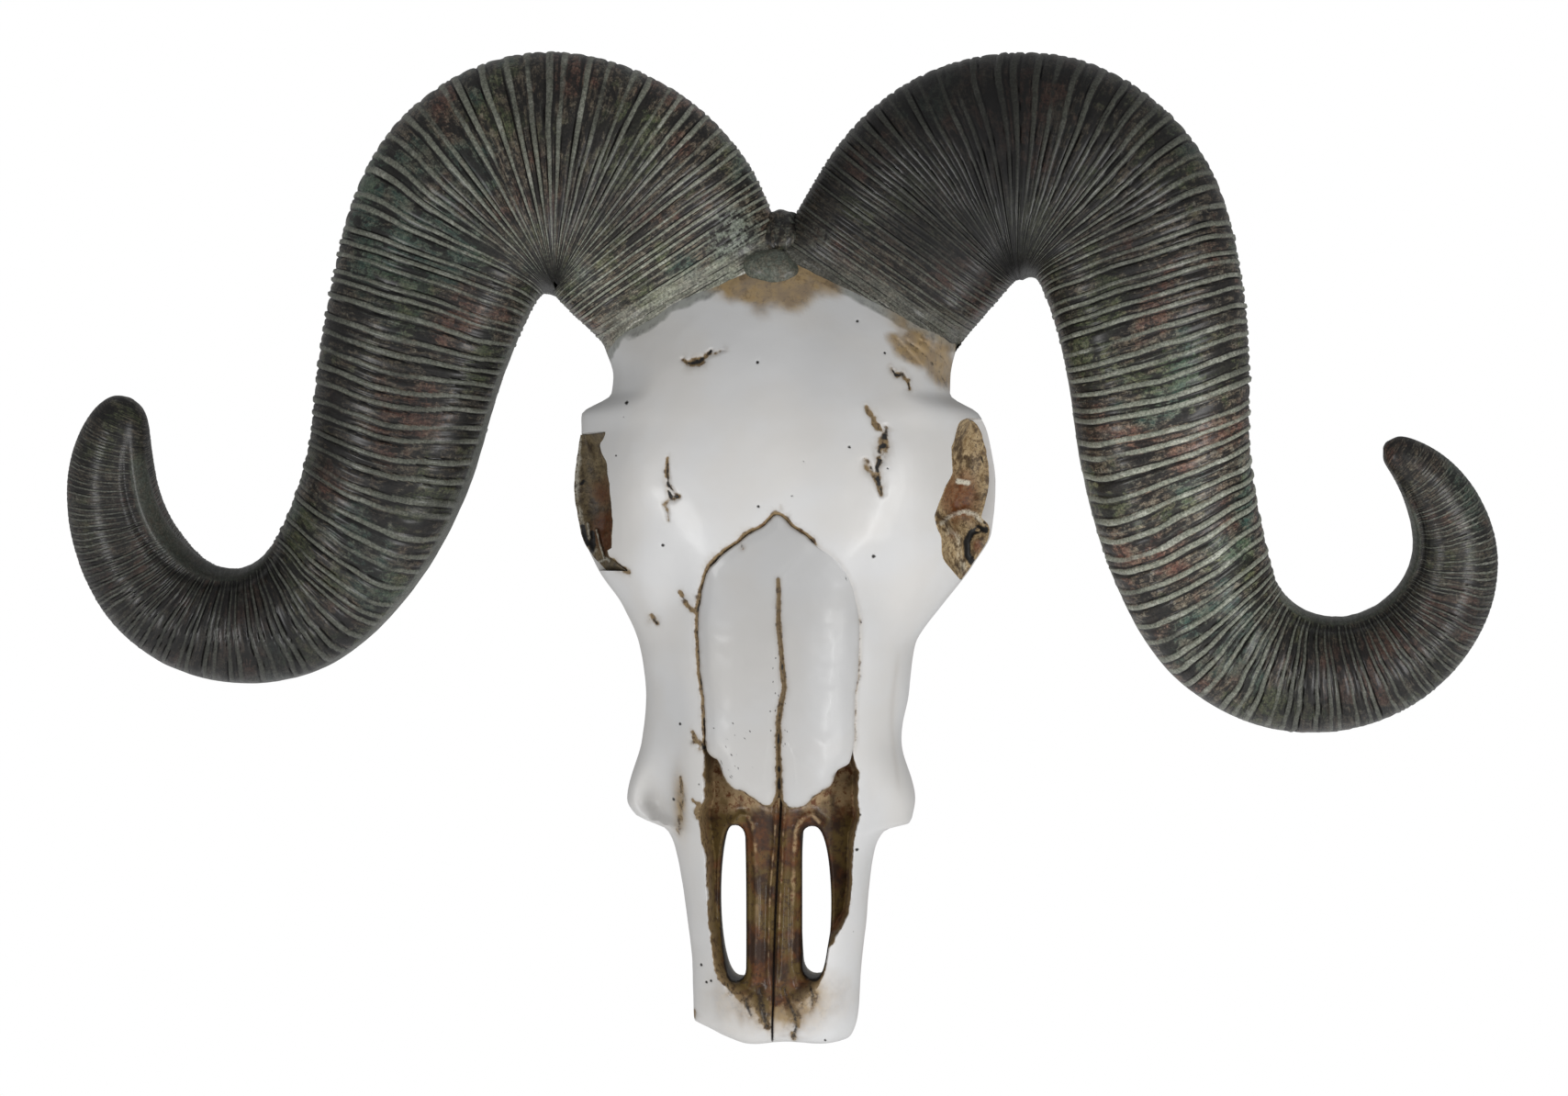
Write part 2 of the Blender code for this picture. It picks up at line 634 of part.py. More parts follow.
def make_nasal_bones(material, group, guides):
    """The nasal plate, split along the midline from below its apex to its foot."""
    sheet = nasal_sheet(0.0, NASAL_RISE - NASAL_THICKNESS)
    plate = finish_mesh(pull(sheet, NASAL_THICKNESS), "nasal_bones", material, group)
    half = NASAL_SLIT_WIDTH / 2
    slit = box_cutter(
        "nasal slit", (NASAL_CENTRE - half, -FAR, -FAR), (NASAL_CENTRE + half, FAR, NASAL_SLIT_TOP), guides
    )
    add_boolean(plate, slit)
    shade_round(plate)
    return plate


def socket_centre(side):
    """Centre of one eye socket's oval."""
    return (SOCKET_ACROSS[side], -SOCKET_STANDOFF, SOCKET_HEIGHT)


def socket_turn(side):
    """Turn of one eye socket about the vertical, so that it faces a little forward."""
    return SOCKET_TURN if side == "left" else -SOCKET_TURN


def make_sockets(material, group, guides):
    """The stained bowls in the eye sockets, flush with the bone, and the pockets that it is cut with."""
    pockets = []
    whole = make_cutter(skin(skull_rings()), "whole skull", guides)
    for side in ("left", "right"):
        hand = -1 if side == "left" else 1
        centre, turn = socket_centre(side), socket_turn(side)
        pockets.append(make_cutter(oval(centre, SOCKET_RADII, turn, GAP), f"{side} socket pocket", guides))
        lining = finish_mesh(oval(centre, SOCKET_RADII, turn), f"eye_socket_{side}", material, group)
        hollow = make_cutter(oval(centre, SOCKET_RADII, turn, -LINING_WALL), f"{side} socket hollow", guides)
        facing = Matrix.Translation(Vector(centre) * MM) @ Matrix.Rotation(math.radians(turn), 4, "Z")
        low, high = (-LINING_SET_BACK, FAR) if hand > 0 else (-FAR, LINING_SET_BACK)
        mouth = box_cutter(f"{side} socket mouth", (low, -FAR, -FAR), (high, FAR, FAR), guides, facing)
        add_boolean(lining, hollow)
        add_boolean(lining, mouth)
        add_boolean(lining, whole, "INTERSECT")
        shade_round(lining)
    return pockets


def make_hanger(material, group, guides):
    """The toothed strip and its two pins, and the recesses that the back is cut with."""
    wide, tall, thick = STRIP_SIZE
    data = bpy.data.curves.new("hanger_strip", "CURVE")
    data.dimensions = "2D"
    data.fill_mode = "BOTH"
    data.extrude = thick / 2 * MM
    outline = [(-wide / 2, tall / 2), (wide / 2, tall / 2), (wide / 2, -tall / 2)]
    span = wide - 14.0
    for k in range(STRIP_TEETH):
        left_edge = span / 2 - span * k / STRIP_TEETH
        outline.append((left_edge, -tall / 2))
        outline.append((left_edge - span / STRIP_TEETH / 2, -tall / 2 + TOOTH_DEPTH))
    outline += [(-span / 2, -tall / 2), (-wide / 2, -tall / 2)]
    add_flat_spline(data, outline)
    for hand in (-1, 1):
        radius = PIN_SHANK[0] + GAP
        ring = [(hand * PIN_ACROSS + radius * math.cos(math.pi * k / 6), radius * math.sin(math.pi * k / 6))
                for k in range(12)]
        add_flat_spline(data, ring)
    strip = bpy.data.objects.new("hanger_strip", data)
    strip.rotation_euler = (math.pi / 2, 0.0, 0.0)
    strip.location = Vector((0.0, -(STRIP_STANDOFF + thick / 2), HANGER_HEIGHT)) * MM
    data.materials.append(material)
    group.objects.link(strip)
    holes = []
    for side, hand in (("left", -1), ("right", 1)):
        make_pin(f"hanger_pin_{side}", hand * PIN_ACROSS, 0.0, material, group)
        holes.append(shank_hole(f"{side} pin hole", hand * PIN_ACROSS, guides))
    for name, (long, high, deep) in (("hanger recess", RECESS), ("nail pocket", NAIL_POCKET)):
        low = (-long / 2, -deep, HANGER_HEIGHT - high / 2)
        holes.append(box_cutter(name, low, (long / 2, 5.0, HANGER_HEIGHT + high / 2), guides))
    return holes


def add_flat_spline(data, outline):
    """Adds a closed outline of straight runs to a flat curve."""
    line = data.splines.new("POLY")
    line.points.add(len(outline) - 1)
    for spot, (x, y) in zip(line.points, outline):
        spot.co = (x * MM, y * MM, 0.0, 1.0)
    line.use_cyclic_u = True


def round_bar(radius, near, far, across, height, sides=12):
    """A bmesh cylinder along Y between two standoffs from the wall."""
    build = bmesh.new()
    bmesh.ops.create_cone(
        build, cap_ends=True, segments=sides, radius1=radius * MM, radius2=radius * MM, depth=(far - near) * MM
    )
    place = Matrix.Translation(Vector((across, -(far + near) / 2, height)) * MM)
    bmesh.ops.transform(build, matrix=place @ Matrix.Rotation(math.pi / 2, 4, "X"), verts=build.verts)
    return build


def make_pin(name, across, near, material, group):
    """A nail: a flat head over the strip and a shank that runs into the back."""
    head_radius, head_thick = PIN_HEAD
    shank_radius, shank_long = PIN_SHANK
    start = near + 0.1
    head = round_bar(head_radius, start, start + head_thick, across, HANGER_HEIGHT)
    shank = round_bar(shank_radius, start + head_thick / 2, start + shank_long, across, HANGER_HEIGHT)
    pieces = [finish_mesh(head, name, material, group), finish_mesh(shank, "shank", material, group)]
    shade_round(join_pieces(name, pieces, material, group))


def shank_hole(name, across, guides):
    """The hole for a pin's shank in the back of the skull."""
    shank_radius, shank_long = PIN_SHANK
    return make_cutter(
        round_bar(shank_radius + GAP, -5.0, shank_long + 0.1 + GAP, across, HANGER_HEIGHT), name, guides
    )


def make_skull(bone, stain, group, guides, boss_pocket, hanger_holes):
    """The bone in three blocks, with the nasal plate, the nasal floor and the socket bowls."""
    cranium = make_skull_block("cranium", FACE_PART, FAR, bone, group, guides)
    face = make_skull_block("upper_jaw", MUZZLE_PART, FACE_PART, bone, group, guides)
    muzzle = make_skull_block("muzzle", -2 * FAR, MUZZLE_PART, bone, group, guides)
    below_tip = [(-60.0, -FAR * 2), *TIP_EDGE, (60.0, -FAR * 2)]
    add_boolean(muzzle, make_cutter(prism(below_tip, -5.0, FAR), "below tip", guides))
    pocket = pull(nasal_sheet(GAP, NASAL_RISE - NASAL_THICKNESS - GAP), FAR)
    nasal_pocket = make_cutter(pocket, "nasal pocket", guides)
    opening = make_cutter(prism(opening_outline(), -5.0, FAR), "nasal opening", guides)
    for cutter in make_sockets(stain, group, guides):
        add_boolean(cranium, cutter)
    above_seats = seat_cutter("bone above seats", FAR, FAR, -GAP / 2, guides)
    for cutter in [above_seats, boss_pocket] + hanger_holes:
        add_boolean(cranium, cutter)
    for block in (cranium, face):
        add_boolean(block, nasal_pocket)
    for block in (face, muzzle):
        add_boolean(block, opening)
    for block in (cranium, face, muzzle):
        bake_modifiers(block)
        keep_largest_surface(block)
        shade_round(block)
    make_nasal_bones(bone, group, guides)
    make_nasal_floor(stain, group, guides)


def main():
    """Builds the whole sculpture."""
    clear_scene()
    skull_parts = make_collection("ram skull")
    guides = make_collection("cutters")
    bone = make_material("bone_resin", (0.78, 0.77, 0.74), 0.32)
    stain = make_material("stained_resin", (0.27, 0.2, 0.12), 0.6)
    horn_paint = make_material("horn_resin", (0.1, 0.1, 0.088), 0.5)
    steel = make_material("hanger_steel", (0.55, 0.55, 0.53), 0.4, 0.9)
    boss_pocket = make_cutter(oval(BOSS_CENTRE, BOSS_RADII, grow=GAP), "boss pocket", guides)
    boss = finish_mesh(oval(BOSS_CENTRE, BOSS_RADII), "crown_boss", horn_paint, skull_parts)
    shade_round(boss)
    hanger_holes = make_hanger(steel, skull_parts, guides)
    make_horns(horn_paint, boss_pocket, skull_parts, guides)
    make_skull(bone, stain, skull_parts, guides, boss_pocket, hanger_holes)


main()
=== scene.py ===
"""Looks of the ram's skull wall sculpture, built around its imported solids.

The frame is the part's own: metres, +Z up, the wall at Y = 0 and the face along -Y. Tables and
sizes here are in millimetres unless a name says otherwise, and MM turns them into metres.
"""

import logging
import math
import sys
from dataclasses import dataclass, field
from enum import Enum
from itertools import product

import bmesh
import bpy
import numpy as np
from mathutils import Matrix, Vector

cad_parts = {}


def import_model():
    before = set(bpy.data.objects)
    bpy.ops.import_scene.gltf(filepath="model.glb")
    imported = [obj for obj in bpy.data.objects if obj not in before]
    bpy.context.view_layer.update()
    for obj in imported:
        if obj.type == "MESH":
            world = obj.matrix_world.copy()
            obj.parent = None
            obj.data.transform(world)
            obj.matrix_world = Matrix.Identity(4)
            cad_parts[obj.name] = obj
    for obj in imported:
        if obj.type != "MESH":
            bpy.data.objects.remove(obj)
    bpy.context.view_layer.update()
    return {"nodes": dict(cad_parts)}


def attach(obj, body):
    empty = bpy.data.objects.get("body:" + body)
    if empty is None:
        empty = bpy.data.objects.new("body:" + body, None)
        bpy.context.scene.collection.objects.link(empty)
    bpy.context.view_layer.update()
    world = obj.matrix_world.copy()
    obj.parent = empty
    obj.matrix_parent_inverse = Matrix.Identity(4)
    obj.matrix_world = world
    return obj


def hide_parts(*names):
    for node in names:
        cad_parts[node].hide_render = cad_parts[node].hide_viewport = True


LOG = logging.getLogger("ram_skull")

MM = 0.001
ROOT = "root"
WELD_GAP = 1e-7
# Numbers that mix a cell of the noise's grid into a value.
CELL_PRIMES = (73856093, 19349663, 83492791)
SEED_STEP, SEED_START = 40503, 977
MIX_PRIMES = (1274126177, 668265263)

Table = tuple[tuple[float, float], ...]
Path = tuple[tuple[float, float], ...]
Triple = tuple[float, float, float]
Rows = tuple[Triple, ...]


# Numbers along a table, and noise.


def eased(table: Table, at: np.ndarray | float) -> np.ndarray:
    """Reads a table on a smooth curve through its rows, without overshoot.

    Args:
        table: Rows of (place, value) in rising order of place.
        at: Places to read.

    Returns:
        The value at each place; the end values outside the table.
    """
    places = np.array([row[0] for row in table], float)
    values = np.array([row[1] for row in table], float)
    steps = np.diff(places)
    slopes = np.diff(values) / steps
    tangents = np.zeros(len(places))
    for i in range(1, len(places) - 1):
        if slopes[i - 1] * slopes[i] > 0:
            near, far = 2 * steps[i] + steps[i - 1], steps[i] + 2 * steps[i - 1]
            tangents[i] = (near + far) / (near / slopes[i - 1] + far / slopes[i])
    tangents[0], tangents[-1] = slopes[0], slopes[-1]
    at = np.clip(np.asarray(at, float), places[0], places[-1])
    i = np.clip(np.searchsorted(places, at, side="right") - 1, 0, len(steps) - 1)
    u = (at - places[i]) / steps[i]
    return (
        values[i] * (1 + 2 * u) * (1 - u) ** 2
        + tangents[i] * steps[i] * u * (1 - u) ** 2
        + values[i + 1] * u**2 * (3 - 2 * u)
        + tangents[i + 1] * steps[i] * u**2 * (u - 1)
    )


def smooth_step(low: float, high: float, at: np.ndarray) -> np.ndarray:
    """0 below low, 1 above high, with a smooth rise between."""
    u = np.clip((np.asarray(at, float) - low) / (high - low), 0.0, 1.0)
    return u * u * (3 - 2 * u)


def bump(at: np.ndarray, width: float) -> np.ndarray:
    """A bell of height 1 at 0, with the given half-width."""
    return np.exp(-((np.asarray(at, float) / width) ** 2))


def lattice_value(cells: np.ndarray, seed: int) -> np.ndarray:
    """A repeatable random number from -1 to 1 for each whole-numbered cell."""
    mixed = np.full(cells.shape[:-1], seed * SEED_STEP + SEED_START, np.int64)
    for axis, prime in enumerate(CELL_PRIMES):
        mixed ^= cells[..., axis].astype(np.int64) * prime
    for shift, prime in zip((13, 15), MIX_PRIMES):
        mixed = ((mixed ^ (mixed >> shift)) * prime) & 0x7FFFFFFF
    return mixed / float(0x3FFFFFFF) - 1.0


def noise(points: np.ndarray, size: float | tuple, seed: int) -> np.ndarray:
    """Smooth noise over space.

    Args:
        points: Places, with three numbers in the last axis.
        size: Length of one wave, or one for each axis.
        seed: Which noise of many.

    Returns:
        Values of about -1 to 1, one a place.
    """
    scaled = np.asarray(points, float) / np.asarray(size, float)
    base = np.floor(scaled)
    share = scaled - base
    share = share * share * (3 - 2 * share)
    total = 0.0
    for corner in product((0, 1), repeat=3):
        weight = 1.0
        for axis, high in enumerate(corner):
            weight = weight * (share[..., axis] if high else 1 - share[..., axis])
        total = total + weight * lattice_value(base + np.array(corner), seed)
    return total


def rough_noise(points: np.ndarray, size: float, seed: int, octaves: int = 3) -> np.ndarray:
    """Noise with finer noise on it, each octave half as long and half as strong."""
    parts = [noise(points, size / 2**k, seed + k) / 2**k for k in range(octaves)]
    return sum(parts) / (2 - 0.5 ** (octaves - 1))


def flat_places(x: np.ndarray, z: np.ndarray) -> np.ndarray:
    """Places for noise over the front, which don't depend on depth."""
    return np.stack([x, z, np.zeros(x.shape)], axis=-1)


def path_distance(x: np.ndarray, z: np.ndarray, path: Path) -> tuple[np.ndarray, np.ndarray]:
    """How far points are from a line of straight runs, seen from the front.

    Args:
        x: Across of each point.
        z: Height of each point.
        path: The line's corners.

    Returns:
        The distance, and the share of the line's length at the nearest place.
    """
    corners = np.array(path, float)
    runs = np.diff(corners, axis=0)
    lengths = np.hypot(runs[:, 0], runs[:, 1])
    starts = np.concatenate([[0.0], np.cumsum(lengths)])
    best = np.full(x.shape, 1e9)
    share = np.zeros(x.shape)
    for k, (run, length) in enumerate(zip(runs, lengths)):
        t = np.clip(((x - corners[k, 0]) * run[0] + (z - corners[k, 1]) * run[1]) / length**2, 0, 1)
        far = np.hypot(x - corners[k, 0] - t * run[0], z - corners[k, 1] - t * run[1])
        nearer = far < best
        best = np.where(nearer, far, best)
        share = np.where(nearer, (starts[k] + t * length) / starts[-1], share)
    return best, share


def inside_distance(x: np.ndarray, z: np.ndarray, outline: Path) -> np.ndarray:
    """Distance from a closed outline seen from the front, above 0 inside it and below 0 outside."""
    far, _ = path_distance(x, z, (*outline, outline[0]))
    inside = np.zeros(x.shape, bool)
    for (x0, z0), (x1, z1) in zip(outline, (*outline[1:], outline[0])):
        if z0 == z1:
            continue
        crosses = (z0 > z) != (z1 > z)
        inside ^= crosses & (x < (x1 - x0) * (z - z0) / (z1 - z0) + x0)
    return np.where(inside, far, -far)


# Meshes.


def grid_sheet(columns: int, rows: int) -> bmesh.types.BMesh:
    """A flat grid of columns by rows of squares, 2 long each way about the origin."""
    sheet = bmesh.new()
    bmesh.ops.create_grid(sheet, x_segments=columns, y_segments=rows, size=1.0)
    return sheet


def lay_on(
    sheet: bmesh.types.BMesh, places: np.ndarray, numbers: dict[str, np.ndarray] | None = None
) -> None:
    """Moves the vertices of a grid sheet to their places and stores numbers on them.

    Args:
        sheet: A sheet from grid_sheet.
        places: Array of rows + 1 by columns + 1 by 3, in metres.
        numbers: Arrays of rows + 1 by columns + 1, or with a last axis of 3 for a vector, by name.
    """
    rows, columns = places.shape[0] - 1, places.shape[1] - 1
    layers = []
    for name, values in (numbers or {}).items():
        kind = sheet.verts.layers.float_vector if values.ndim == 3 else sheet.verts.layers.float
        layers.append((kind.new(name), values.tolist()))
    spots = places.tolist()
    for vert in sheet.verts:
        column = round((vert.co.x + 1) / 2 * columns)
        row = round((vert.co.y + 1) / 2 * rows)
        vert.co = spots[row][column]
        for layer, values in layers:
            vert[layer] = values[row][column]


def close_tube(sheet: bmesh.types.BMesh) -> None:
    """Welds the side seam of a rolled sheet and fills its two ends."""
    bmesh.ops.remove_doubles(sheet, verts=sheet.verts, dist=WELD_GAP)
    rims = [edge for edge in sheet.edges if edge.is_boundary]
    bmesh.ops.holes_fill(sheet, edges=rims, sides=0)
    ends = [face for face in sheet.faces if len(face.verts) > 4]
    bmesh.ops.triangulate(sheet, faces=ends)


def to_object(build: bmesh.types.BMesh, name: str) -> bpy.types.Object:
    """Turns a bmesh into a named object in the scene, with faces outwards."""
    bmesh.ops.recalc_face_normals(build, faces=build.faces)
    mesh = bpy.data.meshes.new(name)
    build.to_mesh(mesh)
    build.free()
    made = bpy.data.objects.new(name, mesh)
    bpy.context.scene.collection.objects.link(made)
    return made


def read_points(made: bpy.types.Object) -> np.ndarray:
    """The vertices of an object in millimetres, one row each."""
    points = np.zeros(len(made.data.vertices) * 3, np.float32)
    made.data.vertices.foreach_get("co", points)
    return points.reshape(-1, 3).astype(float) / MM


def write_points(made: bpy.types.Object, points: np.ndarray) -> None:
    """Puts back the vertices of an object from millimetres."""
    made.data.vertices.foreach_set("co", (points * MM).astype(np.float32).ravel())
    made.data.update()


def read_normals(made: bpy.types.Object) -> np.ndarray:
    """The vertex normals of an object, one row each."""
    normals = np.zeros(len(made.data.vertices) * 3, np.float32)
    made.data.vertices.foreach_get("normal", normals)
    return normals.reshape(-1, 3).astype(float)


def write_number(made: bpy.types.Object, name: str, values: np.ndarray) -> None:
    """Stores one number a vertex, which the finishes read by its name."""
    layer = made.data.attributes.get(name) or made.data.attributes.new(name, "FLOAT", "POINT")
    layer.data.foreach_set("value", np.asarray(values, np.float32).ravel())


def write_numbers(made: bpy.types.Object, numbers: dict[str, np.ndarray]) -> None:
    """Stores several numbers on every vertex, by name."""
    for name, values in numbers.items():
        write_number(made, name, values)


def read_number(made: bpy.types.Object, name: str) -> np.ndarray:
    """The numbers stored under a name, one a vertex."""
    values = np.zeros(len(made.data.vertices), np.float32)
    made.data.attributes[name].data.foreach_get("value", values)
    return values.astype(float)


def write_vector(made: bpy.types.Object, name: str, values: np.ndarray) -> None:
    """Stores one vector a vertex, which the finishes read by its name."""
    layer = made.data.attributes.get(name) or made.data.attributes.new(name, "FLOAT_VECTOR", "POINT")
    layer.data.foreach_set("vector", np.asarray(values, np.float32).ravel())


def round_shading(made: bpy.types.Object, angle: float) -> None:
    """Smooth shading, with edges sharper than the angle kept."""
    made.data.shade_smooth()
    made.data.set_sharp_from_angle(angle=math.radians(angle))


def cut_with(made: bpy.types.Object, cutters: list[bpy.types.Object]) -> None:
    """Cuts guides out of an object, applies the result and removes the guides."""
    for cutter in cutters:
        step = made.modifiers.new(cutter.name, "BOOLEAN")
        step.operation = "DIFFERENCE"
        step.object = cutter
        step.solver = "EXACT"
    bpy.context.view_layer.update()
    graph = bpy.context.evaluated_depsgraph_get()
    mesh = bpy.data.meshes.new_from_object(made.evaluated_get(graph))
    made.modifiers.clear()
    made.data = mesh
    for cutter in cutters:
        bpy.data.objects.remove(cutter)


def hand_over(
    made: bpy.types.Object, finish: bpy.types.Material, slot: str, *nodes: str
) -> bpy.types.Object:
    """Dresses a finished piece, puts it on the body and lets it stand for its CAD nodes.

    Args:
        made: The piece.
        finish: Its material.
        slot: Name of the material slot; not used.
        *nodes: The CAD nodes that it replaces, if any.

    Returns:
        The piece.
    """
    made.data.materials.clear()
    made.data.materials.append(finish)
    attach(made, ROOT)
    if nodes:
        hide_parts(*nodes)
    return made


# The shape of the bone.


@dataclass(frozen=True)
class Level:
    """One section of the skull; the same numbers as the part's solids have."""

    height: float
    left: float
    right: float
    side: float
    crest: float
    fullness: float


@dataclass(frozen=True)
class Swelling:
    """A swelling or hollow of the face, the same on both sides."""

    across: float
    height: float
    wide: float
    tall: float
    rise: float


LEVELS = (
    Level(34.0, 34.0, 33.0, 26.0, 50.0, 2.2),
    Level(15.0, 58.0, 56.0, 30.0, 64.0, 2.2),
    Level(-11.0, 70.0, 69.0, 32.0, 81.0, 2.3),
    Level(-25.0, 66.3, 66.4, 32.0, 89.0, 2.3),
    Level(-32.0, 66.9, 66.3, 34.0, 92.0, 2.3),
    Level(-40.0, 78.3, 77.5, 36.0, 95.0, 2.2),
    Level(-48.0, 78.9, 81.2, 32.0, 97.0, 2.2),
    Level(-68.0, 81.4, 84.1, 28.0, 98.5, 2.2),
    Level(-86.0, 78.8, 82.6, 28.0, 97.5, 2.2),
    Level(-100.0, 72.9, 75.0, 30.0, 95.0, 2.2),
    Level(-116.0, 62.3, 62.3, 30.0, 91.0, 2.2),
    Level(-131.0, 56.3, 52.4, 28.0, 88.0, 2.3),
    Level(-150.0, 53.9, 50.2, 26.0, 83.5, 2.4),
    Level(-168.0, 55.7, 47.2, 24.0, 80.0, 2.5),
    Level(-192.0, 61.6, 52.6, 20.0, 75.0, 2.5),
    Level(-198.0, 58.2, 51.6, 20.0, 72.5, 2.6),
    Level(-201.0, 51.4, 50.6, 21.0, 71.0, 2.7),
    Level(-203.5, 46.0, 41.4, 22.0, 69.0, 2.8),
    Level(-215.0, 41.4, 36.0, 24.0, 64.0, 3.0),
    Level(-240.0, 37.4, 33.4, 24.0, 58.0, 3.2),
    Level(-258.0, 35.6, 31.0, 24.0, 54.0, 3.2),
    Level(-278.0, 35.2, 29.6, 24.0, 49.0, 3.0),
    Level(-285.0, 34.6, 27.4, 22.0, 45.0, 2.8),
    Level(-293.0, 32.0, 19.0, 18.0, 37.0, 2.6),
)

SWELLINGS = (
    Swelling(54.0, -62.0, 13.0, 20.0, 3.0),
    Swelling(40.0, -113.0, 10.0, 14.0, -3.5),
    Swelling(47.0, -150.0, 9.0, 20.0, -2.5),
    Swelling(50.0, -187.0, 8.0, 11.0, 3.0),
)


@dataclass(frozen=True)
class SkullForm:
    """The plain form of the bone: how wide it is and how far it stands off the wall."""

    levels: tuple[Level, ...] = LEVELS
    swellings: tuple[Swelling, ...] = SWELLINGS
    flat_back: float = 0.82
    calm_reach: tuple[float, ...] = (-9.0, -6.0, -3.0, 0.0, 3.0, 6.0, 9.0)
    calm_share: float = 0.68
    edge_ease: float = 4.0
    fine_steps: int = 720
    corner_steps: int = 60
    calm_half: Table = ((-293, 30.0), (-240, 35.5), (-215, 40.0), (-203, 44.0), (-175, 49.0), (-150, 51.5),
                        (-131, 55.5), (-116, 62.3), (-100, 73.5), (-86, 80.0), (-68, 82.0), (-40, 79.0),
                        (-11, 73.0), (15, 62.0), (34, 40.0))

    def value(self, field_name: str, height: np.ndarray) -> np.ndarray:
        """A field of the levels at any height."""
        rows = tuple(sorted((level.height, getattr(level, field_name)) for level in self.levels))
        return eased(rows, height)

    def calm_value(self, field_name: str, height: np.ndarray) -> np.ndarray:
        """A field of the levels, averaged over the heights round each one."""
        return sum(self.value(field_name, height + shift) for shift in self.calm_reach) / len(self.calm_reach)

    def half(self, across: np.ndarray, height: np.ndarray) -> np.ndarray:
        """The half-width on the side that a point is on."""
        return np.where(across < 0, self.value("left", height), self.value("right", height))

    def standoff(self, across: np.ndarray, height: np.ndarray) -> np.ndarray:
        """How far the front stands off the wall.

        Args:
            across: Across of each point.
            height: Height of each point.

        Returns:
            The standoff of each point.
        """
        share = np.clip(np.abs(across) / self.half(across, height), 0.0, 1.0)
        calm = np.abs(across) / eased(self.calm_half, height)
        share = np.clip(calm + (share - calm) * smooth_step(self.calm_share, 1.0, share), 0.0, 1.0)
        side, crest = self.value("side", height), self.calm_value("crest", height)
        dome = (1.0 - share ** self.calm_value("fullness", height)) ** 0.5
        rise = 0.0
        for s in self.swellings:
            rise = rise + s.rise * bump(np.abs(across) - s.across, s.wide) * bump(height - s.height, s.tall)
        return side + (crest - side) * dome + rise * np.clip(self.edge_ease * (1.0 - share), 0.0, 1.0)

    def ring(self, height: float, counts: tuple[int, int, int]) -> np.ndarray:
        """One closed section at even steps: front, left side, back, right side.

        Args:
            height: Height of the section.
            counts: Steps over the front, down one side and across the back.

        Returns:
            Points in millimetres, the first repeated at the end.
        """
        front_steps, side_steps, back_steps = counts
        turn = np.linspace(0.0, math.pi, self.fine_steps + 1)
        left, right = float(self.value("left", height)), float(self.value("right", height))
        side = float(self.value("side", height))
        across = np.where(turn < math.pi / 2, right, left) * np.cos(turn)
        front = np.stack([across, -self.standoff(across, np.full(across.shape, height))], axis=1)
        quarter = np.linspace(0.0, math.pi / 2, self.corner_steps + 1)
        inset = 1 - (1 - self.flat_back) * (1 - np.cos(quarter))
        down = np.stack([-left * inset, -side * (1 - np.sin(quarter))], axis=1)
        up = np.stack([right * inset, -side * (1 - np.sin(quarter))], axis=1)[::-1]
        across_back = np.linspace(-left * self.flat_back, right * self.flat_back, back_steps + 1)
        back = np.stack([across_back, np.zeros(back_steps + 1)], axis=1)
        runs = [
            even_steps(front, front_steps),
            even_steps(down, side_steps),
            back,
            even_steps(up, side_steps),
        ]
        flat = np.concatenate([run[:-1] for run in runs] + [runs[-1][-1:]])
        return np.column_stack([flat, np.full(len(flat), height)])


def even_steps(line: np.ndarray, steps: int) -> np.ndarray:
    """Points at even distances along a line of many short runs."""
    lengths = np.concatenate([[0.0], np.cumsum(np.linalg.norm(np.diff(line, axis=0), axis=1))])
    stops = np.linspace(0.0, lengths[-1], steps + 1)
    return np.column_stack([np.interp(stops, lengths, line[:, k]) for k in range(line.shape[1])])


FORM = SkullForm()

# Waves of the cast's surface: height, length and which noise.
WAVES = ((0.28, 21.0, 3), (0.12, 8.0, 4), (0.04, 3.0, 6))


def unevenness(points: np.ndarray) -> np.ndarray:
    """How far the cast's surface swells or sinks at each point."""
    return sum(height * noise(points, length, seed) for height, length, seed in WAVES)


@dataclass(frozen=True)
class HornSeat:
    """Where horn meets bone: a line that falls outwards from the midline, with a worn edge."""

    middle: float = 15.0
    fall: float = 28.5 / 70.5
    edge: Table = ((-74, -7.5), (-66, -5.6), (-60, -3.2), (-53, -2.8), (-46, -2.2), (-40, -0.4), (-30, 0.0),
                   (-22, -0.6), (-14, 0.4), (-7, 1.0), (0, 0.5), (8, 2.0), (18, 1.2), (30, -0.4), (42, -2.2),
                   (49, -3.4), (56, -3.0), (60, -3.0), (64, -3.2), (67, -3.4), (70, -3.7), (74, -4.0))
    wear: float = 0.8

    def line(self, across: np.ndarray) -> np.ndarray:
        """Height of the plain seat at an across."""
        return self.middle - self.fall * np.abs(across)

    def worn_line(self, across: np.ndarray) -> np.ndarray:
        """Height of the paint's irregular edge at an across."""
        points = flat_places(across, np.zeros(across.shape))
        return self.line(across) + eased(self.edge, across) + self.wear * rough_noise(points, 5.0, 41)


SEAT = HornSeat()


# The horns.


class Side(Enum):
    """A side of the head as the viewer sees it, with the sign of its X."""

    LEFT = -1
    RIGHT = 1

    @property
    def label(self) -> str:
        """The word used in names."""
        return self.name.lower()


@dataclass(frozen=True)
class Rings:
    """How growth rings are drawn; places and widths are shares of the way from ring to ring."""

    wander: float = 0.26
    fine_wander: float = 0.1
    shift: float = 0.26
    crest: tuple[float, float] = (0.1, 0.19)
    groove_place: float = 0.23
    near_groove: float = 0.055
    far_groove: float = 0.06
    near_share: float = 0.7
    lesser_width: float = 0.085
    lesser_groove_place: float = 0.36
    lesser_groove: float = 0.045
    groove_depth: float = 0.75
    outer_calm: float = 0.75
    scratch_width: float = 0.13
    height: float = 0.13
    tallest: float = 0.7
    belly: float = 0.45


